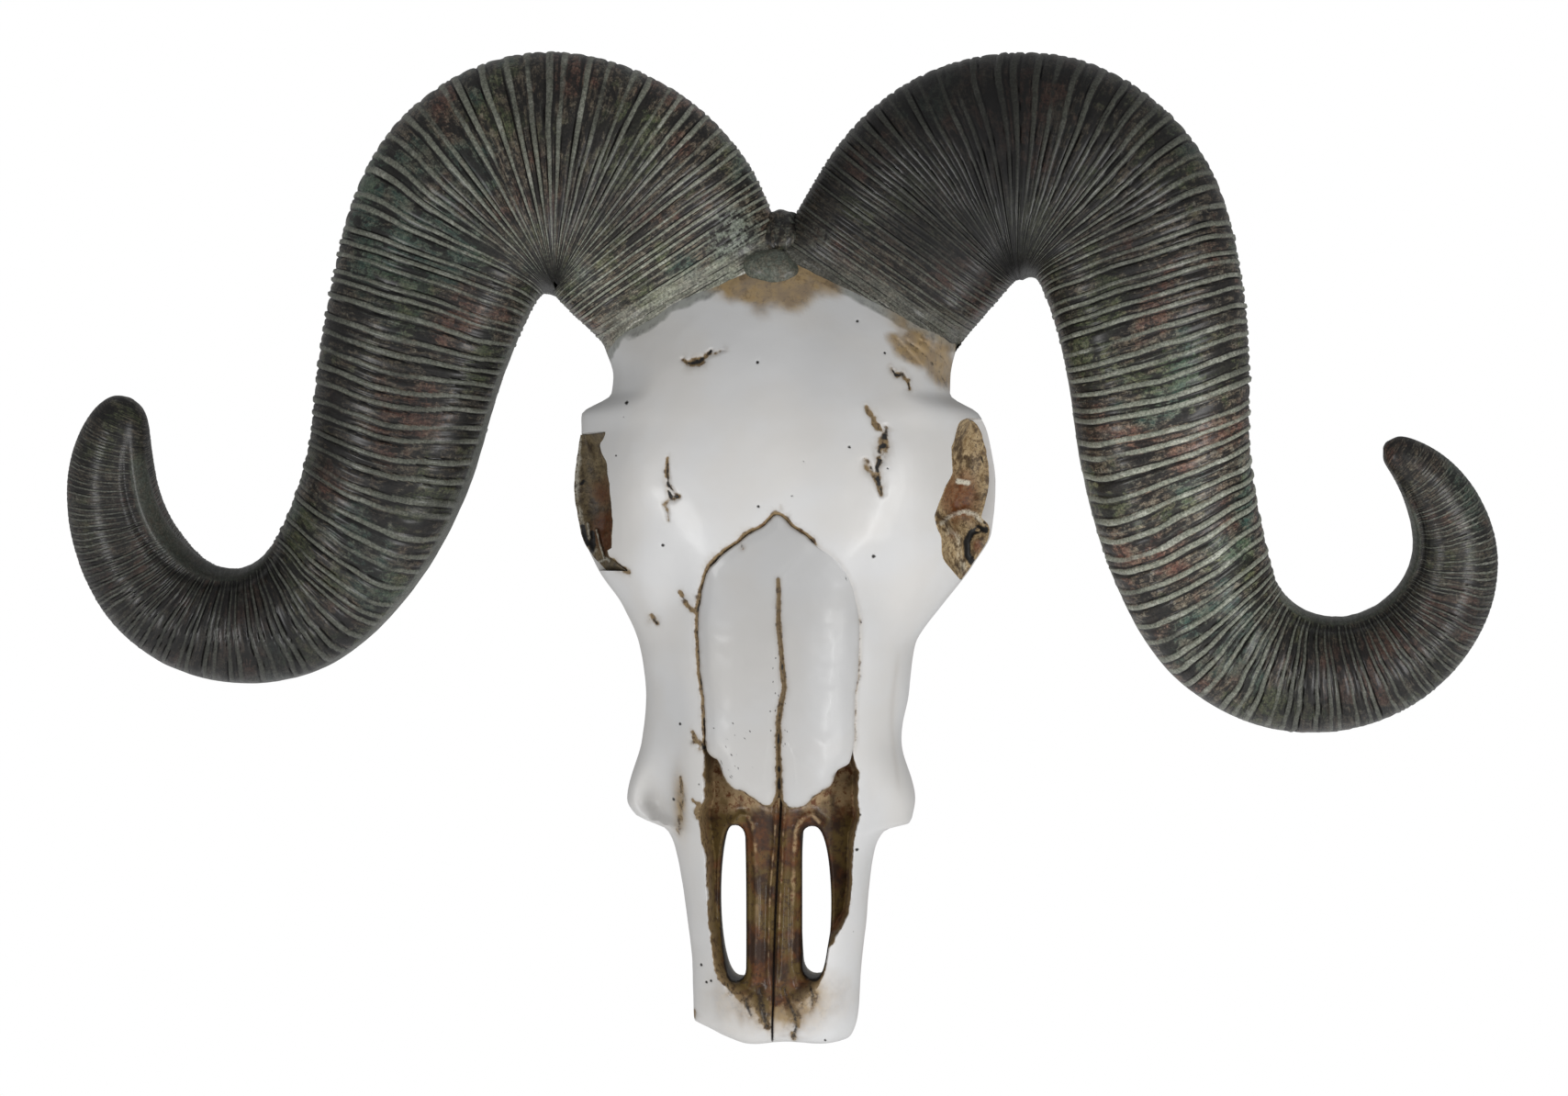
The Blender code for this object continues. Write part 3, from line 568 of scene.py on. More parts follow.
@dataclass
class Horn:
    """One horn in a single seamless piece, from the bone to the tip."""

    side: Side
    start: tuple[float, float]
    heading: float
    bends: Table
    girth: Table
    keel_turn: Table
    strip_half: Table
    tilt: Table
    # Brightness along the horn by share: partly the paint's own darker and paler stretches, partly painted
    # shade on the arch tops and hooks and a painted highlight down the shafts.
    tint: Table
    crown: float
    seed: int
    rings: Rings = Rings()
    rows_to_a_ridge: float = 4.8
    rows_to_a_millimetre: float = 1.0
    columns: int = 90
    step: float = 0.25
    sunk: float = 26.0
    bend_ease: float = 16.0
    standoff: Table = ((0, 36.0), (0.2, 43.0), (0.36, 47.5), (0.5, 38.5), (0.64, 28.0), (0.8, 34.0),
                       (1, 60.0))
    flatness: Table = ((0, 0.74), (0.3, 0.76), (0.5, 0.88), (0.75, 0.98), (1, 1.0))
    power: Table = ((0, 3.3), (0.15, 2.9), (0.35, 2.4), (0.7, 2.1), (1, 2.0))
    pitch: Table = ((0, 3.2), (0.1, 3.4), (0.17, 4.4), (0.3, 4.5), (0.38, 5.4), (0.5, 6.4), (0.6, 6.0),
                    (0.68, 4.8), (0.76, 3.7), (0.85, 2.4), (1, 1.8))
    ridge_fade: Table = ((-0.07, 0.35), (0.05, 0.8), (0.2, 1.0), (0.7, 1.0), (0.9, 0.75), (0.965, 0.5),
                         (0.99, 0.0))
    rough_fade: Table = ((0, 1.0), (0.6, 1.0), (1, 0.4))
    sag: Table = ((0, 0.0), (0.3, 0.0), (0.45, 1.5), (0.62, 3.5), (0.75, 1.5), (1, 1.5))
    curl: Table = ((0, 0.0), (0.4, 0.0), (0.6, 5.0), (0.75, 2.0), (1, 0.0))
    noise_length: float = 420.0
    keel_half: float = 17.0
    keel_rise: float = 0.75
    keel_groove: float = 0.8
    strip_rise: float = 0.15
    roughness: float = 0.22
    tightest: float = 0.97
    skirt: float = 16.0
    skirt_lift: float = 1.3
    skirt_sink: float = 0.35
    skirt_front: tuple[float, float] = (-34.0, -42.0)
    root_reach: float = 85.0
    seat_fade: float = 26.0
    crown_place: tuple[float, float] = (17.0, 28.0)
    crown_reach: float = 14.0
    flow_step: float = 4.3

    def centreline(self) -> dict[str, np.ndarray]:
        """Shares, points, headings and turning of the centreline, a row for every step."""
        lengths = [length for length, _ in self.bends]
        total = sum(lengths)
        ends = np.concatenate([[0.0], np.cumsum(lengths)])
        turns = np.concatenate([[0.0], np.cumsum([turn for _, turn in self.bends])])
        turned = np.radians(self.heading + turns)
        distance = np.arange(-self.sunk, total + self.step, self.step)
        eases = np.linspace(-self.bend_ease / 2, self.bend_ease / 2, 9)
        heading = np.mean([np.interp(distance + ease, ends, turned) for ease in eases], axis=0)
        across = np.cumsum(np.cos(heading)) * self.step
        height = np.cumsum(np.sin(heading)) * self.step
        across += self.start[0] - np.interp(0.0, distance, across)
        height += self.start[1] - np.interp(0.0, distance, height)
        stand = -eased(self.standoff, distance / total)
        return {
            "distance": distance,
            "share": distance / total,
            "points": np.stack([across, stand, height], axis=1),
            "heading": heading,
            "turning": np.gradient(heading, self.step),
            "slope": np.gradient(stand, self.step),
            "phase": np.cumsum(self.step / eased(self.pitch, distance / total)),
        }

    def frame_rows(self) -> dict[str, np.ndarray]:
        """The centreline read at the rows of the mesh, which lie closer where the ridges do."""
        line = self.centreline()
        rank = self.rows_to_a_ridge * line["phase"] + self.rows_to_a_millimetre * line["distance"]
        stops = np.linspace(rank[0], rank[-1], int(rank[-1] - rank[0]) + 1)
        rows = {name: np.interp(stops, rank, line[name]) for name in line if name != "points"}
        rows["points"] = np.column_stack([np.interp(stops, rank, line["points"][:, k]) for k in range(3)])
        return rows

    def keel(self, share: np.ndarray, angle: np.ndarray) -> tuple[np.ndarray, np.ndarray]:
        """The smooth raised band along the inside of the hook, and the groove beside it.

        Args:
            share: Share of the horn's length.
            angle: Angle round the horn in degrees, 0 at the outside of the arch and 90 in front.

        Returns:
            The weight of the band and of the groove, from 0 to 1.
        """
        there = smooth_step(0.6, 0.68, share) * (1 - smooth_step(0.93, 0.985, share))
        away = angle - eased(self.keel_turn, share)
        band = there * (1 - smooth_step(self.keel_half - 4, self.keel_half + 4, np.abs(away)))
        groove = there * bump(away - self.keel_half - 6, 6.0)
        return band, groove

    def strip(self, share: np.ndarray, angle: np.ndarray) -> np.ndarray:
        """Weight of the smooth strip along the inside of the arch and the outside of the hook."""
        there = smooth_step(0.26, 0.4, share) * (1 - smooth_step(0.8, 0.9, share))
        half = eased(self.strip_half, share)
        away = np.abs(np.abs(angle) - 180.0)
        return there * (1 - smooth_step(half - 5, half + 3, away))

    def noise_places(
        self, c: np.ndarray, s: np.ndarray, share: np.ndarray, wide: float, deep: float
    ) -> np.ndarray:
        """Places for noise that follows the horn: round a section of the given size, and along."""
        return np.stack(np.broadcast_arrays(c * wide, s * deep, share * self.noise_length), axis=-1)

    def lean(self, share: np.ndarray, c: np.ndarray, s: np.ndarray) -> np.ndarray:
        """How far the rings lie off square to the centreline, in millimetres."""
        lean = eased(self.sag, share) * np.clip(s, 0, 1) + eased(self.tilt, share) * c
        return lean + eased(self.curl, share) * np.clip(c, 0, 1) ** 4

    def draw_rings(self, phase: np.ndarray, places: np.ndarray, outer: np.ndarray) -> tuple[np.ndarray, ...]:
        """The nearest rings and the lesser ones between them.

        Args:
            phase: Number of rings passed at every vertex, with its fraction.
            places: Where each vertex is, for noise.
            outer: Weight of the outside of a bend, where rings are worn.

        Returns:
            Rise, weight of ridge and weight of groove at every vertex.
        """
        rings, nearest = self.rings, np.round(phase)
        rise, on_ridge, in_groove = 0.0, 0.0, 0.0
        for offset in (-1, 0, 1):
            ring = nearest + offset
            cell = np.stack([ring, np.zeros_like(ring), np.zeros_like(ring)], axis=-1)
            shift = rings.shift * lattice_value(cell, self.seed + 3)
            marks = np.stack([places[..., 0], places[..., 1], ring * 40.0], axis=-1)
            strength = np.clip(0.95 + 0.6 * noise(marks, (14.0, 14.0, 1.0), self.seed + 4), 0.3, 1.2)
            minor = np.clip(0.25 + 1.1 * noise(marks, (10.0, 10.0, 1.0), self.seed + 5), 0, 0.8)
            u = phase - ring - shift
            between = u - 0.3 * shift
            ridge = strength * (1 - smooth_step(*rings.crest, np.abs(u)))
            groove = rings.near_share * strength * bump(u + rings.groove_place, rings.near_groove)
            groove = groove + strength * bump(u - rings.groove_place, rings.far_groove)
            lesser = minor * bump(between - 0.5, rings.lesser_width)
            lesser_groove = 0.6 * minor * bump(between - rings.lesser_groove_place, rings.lesser_groove)
            rise = rise + (ridge + 0.5 * lesser) * (1 - rings.outer_calm * outer)
            rise = rise - rings.groove_depth * groove
            on_ridge = on_ridge + ridge + 0.55 * lesser
            in_groove = in_groove + groove + lesser_groove
        return rise, on_ridge, in_groove

    def ridges(self, rows: dict[str, np.ndarray], angle: np.ndarray) -> dict[str, np.ndarray]:
        """Growth rings at every vertex.

        Args:
            rows: What frame_rows gives.
            angle: Angle round the horn of each column, in degrees.

        Returns:
            Rise in millimetres, how much each vertex lies on a ridge or in a groove, and its phase.
        """
        rings = self.rings
        share, turning = rows["share"][:, None], rows["turning"][:, None]
        c, s = np.cos(np.radians(angle))[None, :], np.sin(np.radians(angle))[None, :]
        pitch = eased(self.pitch, share)
        places = self.noise_places(c, s, share, 24.0, 20.0)
        wander = rings.wander * noise(places, (16.0, 16.0, 30.0), self.seed)
        wander = wander + rings.fine_wander * noise(places, (7.0, 7.0, 12.0), self.seed + 1)
        phase = rows["phase"][:, None] - self.lean(share, c, s) / pitch + wander
        outer = np.clip(-c * np.sign(turning), 0, 1) ** 5 * smooth_step(0.004, 0.012, np.abs(turning))
        rise, on_ridge, in_groove = self.draw_rings(phase, places, outer)
        second = 2 * phase + 0.4 + 0.35 * noise(places, (9.0, 9.0, 9.0), self.seed + 6)
        broken = np.clip(0.2 + noise(places, (12.0, 12.0, 5.0), self.seed + 7), 0, 1)
        scratch = 0.7 * bump(second - np.round(second), rings.scratch_width) * broken
        in_groove = in_groove + scratch * smooth_step(0.0, 0.1, share)
        spread = np.clip(1 - turning * eased(self.girth, share) * c, 0.1, 2.2)
        crowded = 1 - smooth_step(0.1, 0.6, spread)
        in_groove = in_groove + 0.7 * crowded * (s > 0)
        reach = np.clip(rings.height * pitch * spread, 0.0, rings.tallest) * eased(self.ridge_fade, share)
        belly = 0.5 - 0.5 * np.cos(2 * math.pi * phase)
        rise = reach * (rise + rings.belly * belly)
        return {"rise": rise, "ridge": on_ridge, "groove": in_groove, "phase": phase}

    def sweep(
        self, rows: dict[str, np.ndarray], c: np.ndarray, s: np.ndarray, lift: np.ndarray
    ) -> np.ndarray:
        """Sweeps the section along the centreline.

        Args:
            rows: What frame_rows gives.
            c: Cosine of each column's angle.
            s: Sine of each column's angle.
            lift: Rise above the plain section at every vertex.

        Returns:
            Places of the sheet in millimetres, on this horn's side.
        """
        share, turning = rows["share"][:, None], rows["turning"][:, None]
        half, power = eased(self.girth, share), eased(self.power, share)
        deep = half * eased(self.flatness, share)
        reach = (np.abs(c) ** power + np.abs(s) ** power) ** (-1 / power)
        turn = rows["heading"]
        axis = np.stack([np.cos(turn), rows["slope"], np.sin(turn)], axis=1)
        axis /= np.linalg.norm(axis, axis=1, keepdims=True)
        outward = np.stack([-np.sin(turn), np.zeros_like(turn), np.cos(turn)], axis=1)
        forward = np.array([0.0, -1.0, 0.0]) + axis * axis[:, 1:2]
        forward /= np.linalg.norm(forward, axis=1, keepdims=True)
        limit = self.tightest / np.maximum(np.abs(turning), 1e-6)
        across = c * (half * reach + lift)
        across = np.where(c * turning > 0, np.clip(across, -limit, limit), across)
        body = (
            rows["points"][:, None, :]
            + outward[:, None, :] * across[..., None]
            + forward[:, None, :] * (s * (deep * reach + lift))[..., None]
        )
        body[..., 0] *= self.side.value
        body[:, -1] = body[:, 0]
        return body

    def build(self) -> bpy.types.Object:
        """Builds the horn and cuts its root to the bone.

        Returns:
            The finished mesh, undressed.
        """
        rows = self.frame_rows()
        angle = np.linspace(0.0, 360.0, self.columns + 1)
        signed = np.where(angle > 180.0, angle - 360.0, angle)[None, :]
        share = rows["share"][:, None]
        c, s = np.cos(np.radians(angle))[None, :], np.sin(np.radians(angle))[None, :]
        marks = self.ridges(rows, angle)
        band, groove = self.keel(share, signed)
        strip = self.strip(share, signed)
        plain = np.clip(band + strip, 0.0, 1.0)
        rough = rough_noise(self.noise_places(c, s, share, 30.0, 26.0), 5.0, self.seed + 9)
        lift = marks["rise"] * (1 - plain) + self.keel_rise * band - self.keel_groove * groove
        lift = lift + self.strip_rise * strip + self.roughness * rough * eased(self.rough_fade, share)
        body = self.meet_bone(self.sweep(rows, c, s, lift))
        sheet = grid_sheet(self.columns, len(share) - 1)
        lay_on(sheet, body * MM, self.paint_marks(rows, c, s, body, marks, plain, groove))
        close_tube(sheet)
        self.cut_root(sheet)
        made = to_object(sheet, f"horn_{self.side.label}")
        round_shading(made, 70.0)
        return made

    def paint_marks(
        self,
        rows: dict[str, np.ndarray],
        c: np.ndarray,
        s: np.ndarray,
        body: np.ndarray,
        marks: dict[str, np.ndarray],
        plain: np.ndarray,
        groove: np.ndarray,
    ) -> dict[str, np.ndarray]:
        """What the paint follows at every vertex.

        Args:
            rows: What frame_rows gives.
            c: Cosine of each column's angle.
            s: Sine of each column's angle.
            body: Places of the sheet.
            marks: What ridges gives.
            plain: Weight of the smooth bands.
            groove: Weight of the groove beside the keel.

        Returns:
            Arrays to store on the sheet, by the names that the finish reads.
        """
        share = np.broadcast_to(rows["share"][:, None], plain.shape)
        girth = eased(self.girth, share)
        x, z = body[..., 0], body[..., 2]
        from_crown = np.hypot(x - self.side.value * self.crown_place[0], z - self.crown_place[1])
        near_seat = 1 - smooth_step(0.0, self.seat_fade, z - SEAT.worn_line(x))
        return {
            "ridge": np.clip(marks["ridge"], 0, 1.2) * (1 - plain) * eased(self.ridge_fade, share),
            "groove": np.clip(marks["groove"], 0, 1) * (1 - plain) + 0.45 * groove,
            "plain": plain,
            "near_seat": near_seat * (np.abs(x) < self.root_reach),
            "crown": self.crown * bump(from_crown, self.crown_reach),
            # Painted shade and painted highlight along the horn, with the paint's own tone.
            "tint": eased(self.tint, share),
            "flow": np.stack([marks["phase"] * self.flow_step, c * girth, s * girth], axis=-1),
        }

    def meet_bone(self, body: np.ndarray) -> np.ndarray:
        """Eases the front of the root down to just above the bone along the seat."""
        x, y, z = body[..., 0], body[..., 1], body[..., 2]
        above = z - SEAT.worn_line(x)
        near = (1 - smooth_step(1.0, self.skirt, above)) * smooth_step(*self.skirt_front, y)
        near = near * (np.abs(x) < 80) * (z > -40)
        lift = self.skirt_lift * smooth_step(0.0, 9.0, above) - self.skirt_sink
        bone = -(FORM.standoff(x, z) + unevenness(body) + lift)
        body[..., 1] = np.where(near > 0, y + (bone - y) * near, y)
        return body

    def cut_root(self, sheet: bmesh.types.BMesh) -> None:
        """Cuts the root along the worn edge of the seat and at the midline."""
        hand = self.side.value
        self.bend_to_seat(sheet, -1.0)
        down = -Vector((hand * SEAT.fall, 0.0, 1.0)).normalized()
        self.slice_off(sheet, self.root_reach, (0.0, 0.0, SEAT.middle * MM), down)
        self.bend_to_seat(sheet, 1.0)
        self.slice_off(sheet, 60.0, (-hand * 0.5 * MM, 0.0, 0.0), Vector((-hand, 0.0, 0.0)))

    def bend_to_seat(self, sheet: bmesh.types.BMesh, share: float) -> None:
        """Moves every vertex up or down by how far the worn edge departs from the plain seat."""
        x = np.array([vert.co.x for vert in sheet.verts]) / MM
        for vert, shift in zip(sheet.verts, ((SEAT.worn_line(x) - SEAT.line(x)) * MM * share).tolist()):
            vert.co.z += shift

    def slice_off(self, sheet: bmesh.types.BMesh, reach: float, point: Triple, outer: Vector) -> None:
        """Cuts away what lies beyond a plane, within a distance of the midline, and fills the cut."""
        faces = [face for face in sheet.faces if all(abs(vert.co.x) < reach * MM for vert in face.verts)]
        parts = [*faces, *(v for f in faces for v in f.verts), *(e for f in faces for e in f.edges)]
        once = list(dict.fromkeys(parts))
        bmesh.ops.bisect_plane(
            sheet, geom=once, plane_co=point, plane_no=outer, clear_outer=True, clear_inner=False
        )
        rims = [edge for edge in sheet.edges if edge.is_boundary]
        filled = bmesh.ops.holes_fill(sheet, edges=rims, sides=0)["faces"]
        bmesh.ops.triangulate(sheet, faces=filled)


HORNS = (
    Horn(
        side=Side.LEFT,
        start=(35.9, 10.5),
        heading=59.5,
        bends=((30.5, -6.5), (56.0, -73.5), (42.5, -50.0), (66.0, -8.0), (74.0, 29.0), (78.5, 103.0),
               (75.5, 69.0)),
        girth=((0, 41.0), (0.06, 45.6), (0.12, 46.7), (0.18, 48.6), (0.24, 45.9), (0.3, 40.5), (0.38, 36.7),
               (0.46, 33.9), (0.56, 30.1), (0.66, 25.4), (0.74, 22.2), (0.82, 21.5), (0.88, 19.3),
               (0.94, 16.1), (0.97, 12.8), (0.985, 10.2), (0.995, 6.8), (1, 2.4)),
        keel_turn=((0.6, 8.0), (0.75, 22.0), (0.9, 34.0), (1, 34.0)),
        strip_half=((0, 12.0), (0.3, 14.0), (0.4, 18.0), (0.6, 22.0), (0.72, 14.0), (1, 8.0)),
        tilt=((0, 0.0), (0.3, 0.0), (0.45, 1.0), (0.62, -1.0), (0.8, 0.0), (1, 0.0)),
        # Painted shade on the arch and hook and painted light at the base, with the paint's own tone.
        tint=((0, 1.8), (0.06, 1.6), (0.12, 1.3), (0.2, 1.1), (0.3, 0.95), (0.4, 0.72), (0.5, 0.7),
              (0.6, 0.75), (0.7, 0.24), (0.8, 0.3), (0.9, 0.6), (1, 0.65)),
        crown=1.0,
        seed=11,
    ),
    Horn(
        side=Side.RIGHT,
        start=(37.7, 11.5),
        heading=55.5,
        bends=((33.0, -2.5), (101.0, -126.0), (61.0, -14.5), (78.0, 21.0), (115.5, 130.0), (29.5, 43.0),
               (43.0, 47.0)),
        girth=((0, 40.6), (0.07, 43.2), (0.12, 43.8), (0.18, 43.8), (0.24, 41.2), (0.3, 38.2), (0.38, 35.5),
               (0.46, 32.9), (0.56, 30.0), (0.66, 25.2), (0.74, 21.6), (0.82, 18.6), (0.88, 16.3),
               (0.94, 12.5), (0.98, 8.2), (0.993, 5.8), (1, 1.8)),
        keel_turn=((0.6, 14.0), (0.8, 12.0), (1, 6.0)),
        strip_half=((0, 9.0), (0.4, 11.0), (0.5, 12.0), (0.6, 8.0), (0.7, 6.0), (1, 6.0)),
        tilt=((0, 0.0), (0.3, -1.0), (0.4, -6.0), (0.58, -6.0), (0.72, -1.0), (1, 0.0)),
        # Painted shade on the arch and hook and a painted highlight down the shaft, with the paint's own
        # tone.
        tint=((0, 0.8), (0.08, 0.28), (0.15, 0.16), (0.22, 0.45), (0.3, 0.95), (0.38, 1.3), (0.46, 1.8),
              (0.55, 1.75), (0.65, 1.15), (0.72, 0.48), (0.8, 0.52), (0.9, 0.75), (1, 0.85)),
        crown=0.6,
        seed=57,
    ),
)


# The bone.


@dataclass(frozen=True)
class NasalOutline:
    """The edge of the nasal plate: pointed above, straight at the sides, scalloped at the foot."""

    middle: Table = ((-190, 1.5), (-120, 1.5))
    half: Table = ((-190, 28.6), (-172, 28.9), (-152, 29.1), (-138, 30.7), (-120, 31.1), (-110, 31.1))
    top: Table = ((-1, -121.0), (-0.96, -112.0), (-0.86, -101.4), (-0.72, -96.6), (-0.59, -93.0),
                  (-0.46, -90.2), (-0.33, -86.8), (-0.15, -83.8), (0.0, -79.6), (0.04, -79.9), (0.2, -84.4),
                  (0.36, -87.6), (0.51, -92.0), (0.7, -96.2), (0.83, -101.0), (0.92, -107.2), (1, -119.5))
    foot: Table = ((-1, -165.5), (-0.965, -171.2), (-0.88, -173.2), (-0.83, -173.9), (-0.79, -177.6),
                   (-0.71, -183.0), (-0.6, -185.6), (-0.49, -186.3), (-0.42, -187.9), (-0.33, -189.4),
                   (-0.2, -191.9), (-0.1, -192.1), (-0.05, -189.8), (0.0, -188.6), (0.05, -191.4),
                   (0.14, -193.0), (0.26, -192.6), (0.38, -191.1), (0.48, -188.2), (0.57, -186.4),
                   (0.66, -184.8), (0.72, -182.6), (0.77, -178.4), (0.83, -177.0), (0.93, -175.4),
                   (0.97, -171.6), (1, -166.0))
    wear: float = 0.3

    def edge(self, share: np.ndarray, height: np.ndarray) -> np.ndarray:
        """Across of a place at a share of the half-width, from -1 to 1."""
        return eased(self.middle, height) + share * eased(self.half, height)

    def outline(self, steps: int = 90) -> Path:
        """The whole edge as a closed line of short runs, from its left shoulder over the top."""
        share = np.linspace(-1.0, 1.0, steps + 1)
        top, foot = eased(self.top, share), eased(self.foot, share)
        down = np.linspace(float(top[-1]), float(foot[-1]), steps // 2)[1:-1]
        up = np.linspace(float(foot[0]), float(top[0]), steps // 2)[1:-1]
        x = np.concatenate([self.edge(share, top), self.edge(np.ones(len(down)), down),
                            self.edge(share, foot)[::-1], self.edge(-np.ones(len(up)), up)])
        z = np.concatenate([top, down, foot[::-1], up])
        x, z = self.worn(x, z)
        return tuple(zip(x.tolist(), z.tolist()))

    def worn(self, x: np.ndarray, z: np.ndarray) -> tuple[np.ndarray, np.ndarray]:
        """Moves places about a little, as the edge's wear does."""
        places = flat_places(x, z)
        return x + self.wear * rough_noise(places, 4.0, 71), z + self.wear * rough_noise(places, 4.0, 72)


NASAL = NasalOutline()


@dataclass(frozen=True)
class Slot:
    """A slot right through the nasal floor: straight towards the midline, bulging away from it."""

    top: float
    foot: float
    straight: float
    bulge: float
    end: float = 0.36
    even: float = 0.84
    roundness: float = 0.72

    def outline(self, grow: float = 0.0, steps: int = 28) -> Path:
        """The slot's edge, wider by grow all round."""
        middle, half = (self.top + self.foot) / 2, (self.top - self.foot) / 2
        hand = math.copysign(1.0, self.bulge)
        points = []
        for k in range(steps + 1):
            turn = math.pi * k / steps
            out = self.bulge * (self.end + (1 - self.end) * math.sin(turn) ** self.roundness)
            across = self.straight + out + hand * grow * math.sin(turn)
            points.append((across, middle + (half + grow) * math.cos(turn)))
        for k in range(1, steps):
            turn = math.pi * k / steps
            near_end = max(0.0, (abs(math.cos(turn)) - self.even) / (1 - self.even))
            out = self.bulge * self.end * (1 - math.sqrt(1 - near_end**2))
            across = self.straight + out - hand * grow * math.sin(turn)
            points.append((across, middle - (half + grow) * math.cos(turn)))
        return tuple(points)


SLOTS = (Slot(-200.8, -262.3, -13.4, -10.4), Slot(-201.0, -261.2, 8.6, 11.2))

OPENING = ((-27.4, -156.0), (-28.2, -172.5), (-28.7, -189.2), (-30.6, -194.7), (-30.3, -201.1),
           (-28.7, -212.9), (-28.1, -236.7), (-27.1, -247.2), (-25.8, -258.1), (-22.1, -264.0),
           (-17.4, -269.7), (-9.0, -279.0), (0.0, -284.0), (7.0, -279.0), (11.3, -270.5), (14.9, -264.7),
           (18.1, -258.6), (19.6, -248.8), (23.1, -243.6), (27.3, -235.6), (28.4, -226.2), (29.8, -204.5),
           (32.1, -197.6), (31.5, -188.2), (32.2, -179.1), (30.2, -173.7), (29.0, -156.0))


@dataclass(frozen=True)
class Crack:
    """A crack, pit or scored line in the bone, with brown wash in it."""

    path: Path
    width: float
    depth: float
    dark: float = 1.0
    wash: float = 0.8
    spread: float = 1.5
    jitter: float = 0.35
    warp: float = 0.55
    margin: float = 8.0

    def draw(self, x: np.ndarray, z: np.ndarray, ragged: np.ndarray) -> tuple[np.ndarray, ...]:
        """Depth, dark line and brown halo of the crack.

        Args:
            x: Across of each point.
            z: Height of each point.
            ragged: Noise at each point, which widens and narrows the crack.

        Returns:
            Depth in millimetres and the weights of the line and the halo at each point.
        """
        lows, highs = np.min(self.path, axis=0) - self.margin, np.max(self.path, axis=0) + self.margin
        near = (x > lows[0]) & (x < highs[0]) & (z > lows[1]) & (z < highs[1])
        cut, line, halo = (np.zeros(x.shape) for _ in range(3))
        if not near.any():
            return cut, line, halo
        places, rag = flat_places(x[near], z[near]), ragged[near]
        warp_x = self.warp * rough_noise(places, 3.4, 31, 3)
        warp_z = self.warp * rough_noise(places, 3.4, 35, 3)
        far, share = path_distance(x[near] + warp_x, z[near] + warp_z, self.path)
        width = self.width * (0.62 + 0.78 * np.sin(math.pi * np.clip(share, 0.06, 0.94)))
        width = np.maximum(width * (1 + self.jitter * rag), 0.2)
        cut[near] = self.depth * bump(far, width * 1.25)
        broken = np.clip(0.75 + 1.1 * rough_noise(places, 1.8, 39, 2), 0.15, 1)
        line[near] = self.dark * bump(far, width * 0.9) * broken
        edge = width * 1.3 + 0.25 + 0.6 * self.spread * np.clip(rag + 0.3, 0, 1)
        patchy = np.clip(1.0 + 0.9 * rough_noise(places, 2.6, 43, 2), 0.5, 1.2)
        halo[near] = np.maximum(self.wash * bump(far, edge) * patchy, line[near])
        return cut, line, halo


CRACKS = (
    Crack(((-35.0, -20.8), (-33.2, -22.0), (-30.7, -21.8), (-27.4, -20.6), (-24.4, -17.4)),
          0.95, 1.1, 0.95, 0.9),
    Crack(((-26.6, -19.8), (-22.4, -18.4), (-18.4, -17.3)), 0.5, 0.4, 0.3, 0.75),
    Crack(((-40.6, -58.7), (-40.2, -64.0), (-39.6, -68.8), (-36.4, -72.4)), 0.5, 0.8, 0.85),
    Crack(((-39.8, -70.8), (-38.4, -73.6), (-35.7, -73.0)), 0.7, 1.0, 1.0),
    Crack(((-36.6, -72.6), (-39.6, -74.4), (-41.2, -76.0), (-40.4, -79.0), (-39.6, -82.1)),
          0.5, 0.4, 0.35, 0.7),
    Crack(((44.1, -23.4), (46.4, -26.4), (48.6, -26.1), (50.4, -28.4), (51.0, -32.0)), 0.5, 0.6, 0.9),
    Crack(((35.4, -38.9), (36.6, -41.4), (38.2, -45.4), (41.0, -48.0)), 0.75, 0.8, 0.45, 0.9),
    Crack(((42.5, -47.0), (41.8, -52.6), (40.4, -58.8), (39.2, -62.2)), 1.25, 1.3, 0.95),
    Crack(((39.2, -62.0), (39.4, -66.4), (40.8, -71.9)), 0.95, 1.1, 1.0),
    Crack(((35.2, -59.7), (36.4, -62.6), (39.0, -65.6)), 0.9, 1.1, 1.0),
    Crack(((-36.1, -109.7), (-33.4, -114.4), (-29.6, -117.2)), 0.55, 0.6, 0.5, 0.9),
    Crack(((-48.4, -118.4), (-46.6, -121.6)), 0.9, 1.0, 1.0),
    Crack(((-67.8, -95.4), (-63.0, -98.4), (-60.0, -100.4), (-57.1, -101.6)), 0.7, 0.9, 0.6, 0.9),
    Crack(((-37.6, -181.7), (-37.3, -191.6), (-38.6, -198.0), (-39.4, -204.3)), 0.6, 0.5, 0.55, 0.7),
    Crack(((50.5, -13.0), (56.0, -17.5), (61.0, -22.0), (65.5, -29.5)), 0.8, 1.0, 0.55, 0.8, 2.4),
    Crack(((55.0, -12.5), (61.0, -16.0), (66.0, -22.0)), 0.6, 0.8, 0.45, 0.8, 2.0),
    Crack(((47.0, -12.5), (52.0, -18.5), (56.0, -22.5)), 0.5, 0.6, 0.3, 0.7, 2.0),
    Crack(((-32.4, -163.4), (-31.2, -166.4), (-28.9, -168.2)), 0.6, 0.5, 0.45, 0.8),
    Crack(((-28.5, -168.0), (-27.4, -170.6)), 1.0, 0.9, 1.0),
    Crack(((-32.6, -190.4), (-30.2, -191.4), (-31.0, -196.7)), 0.6, 0.4, 0.3, 1.0),
    Crack(((3.2, -76.6), (2.8, -79.8)), 0.35, 0.3, 0.3, 0.6),
    Crack(((-12.2, -90.6), (-11.4, -92.8)), 0.5, 0.4, 0.6, 0.7),
)

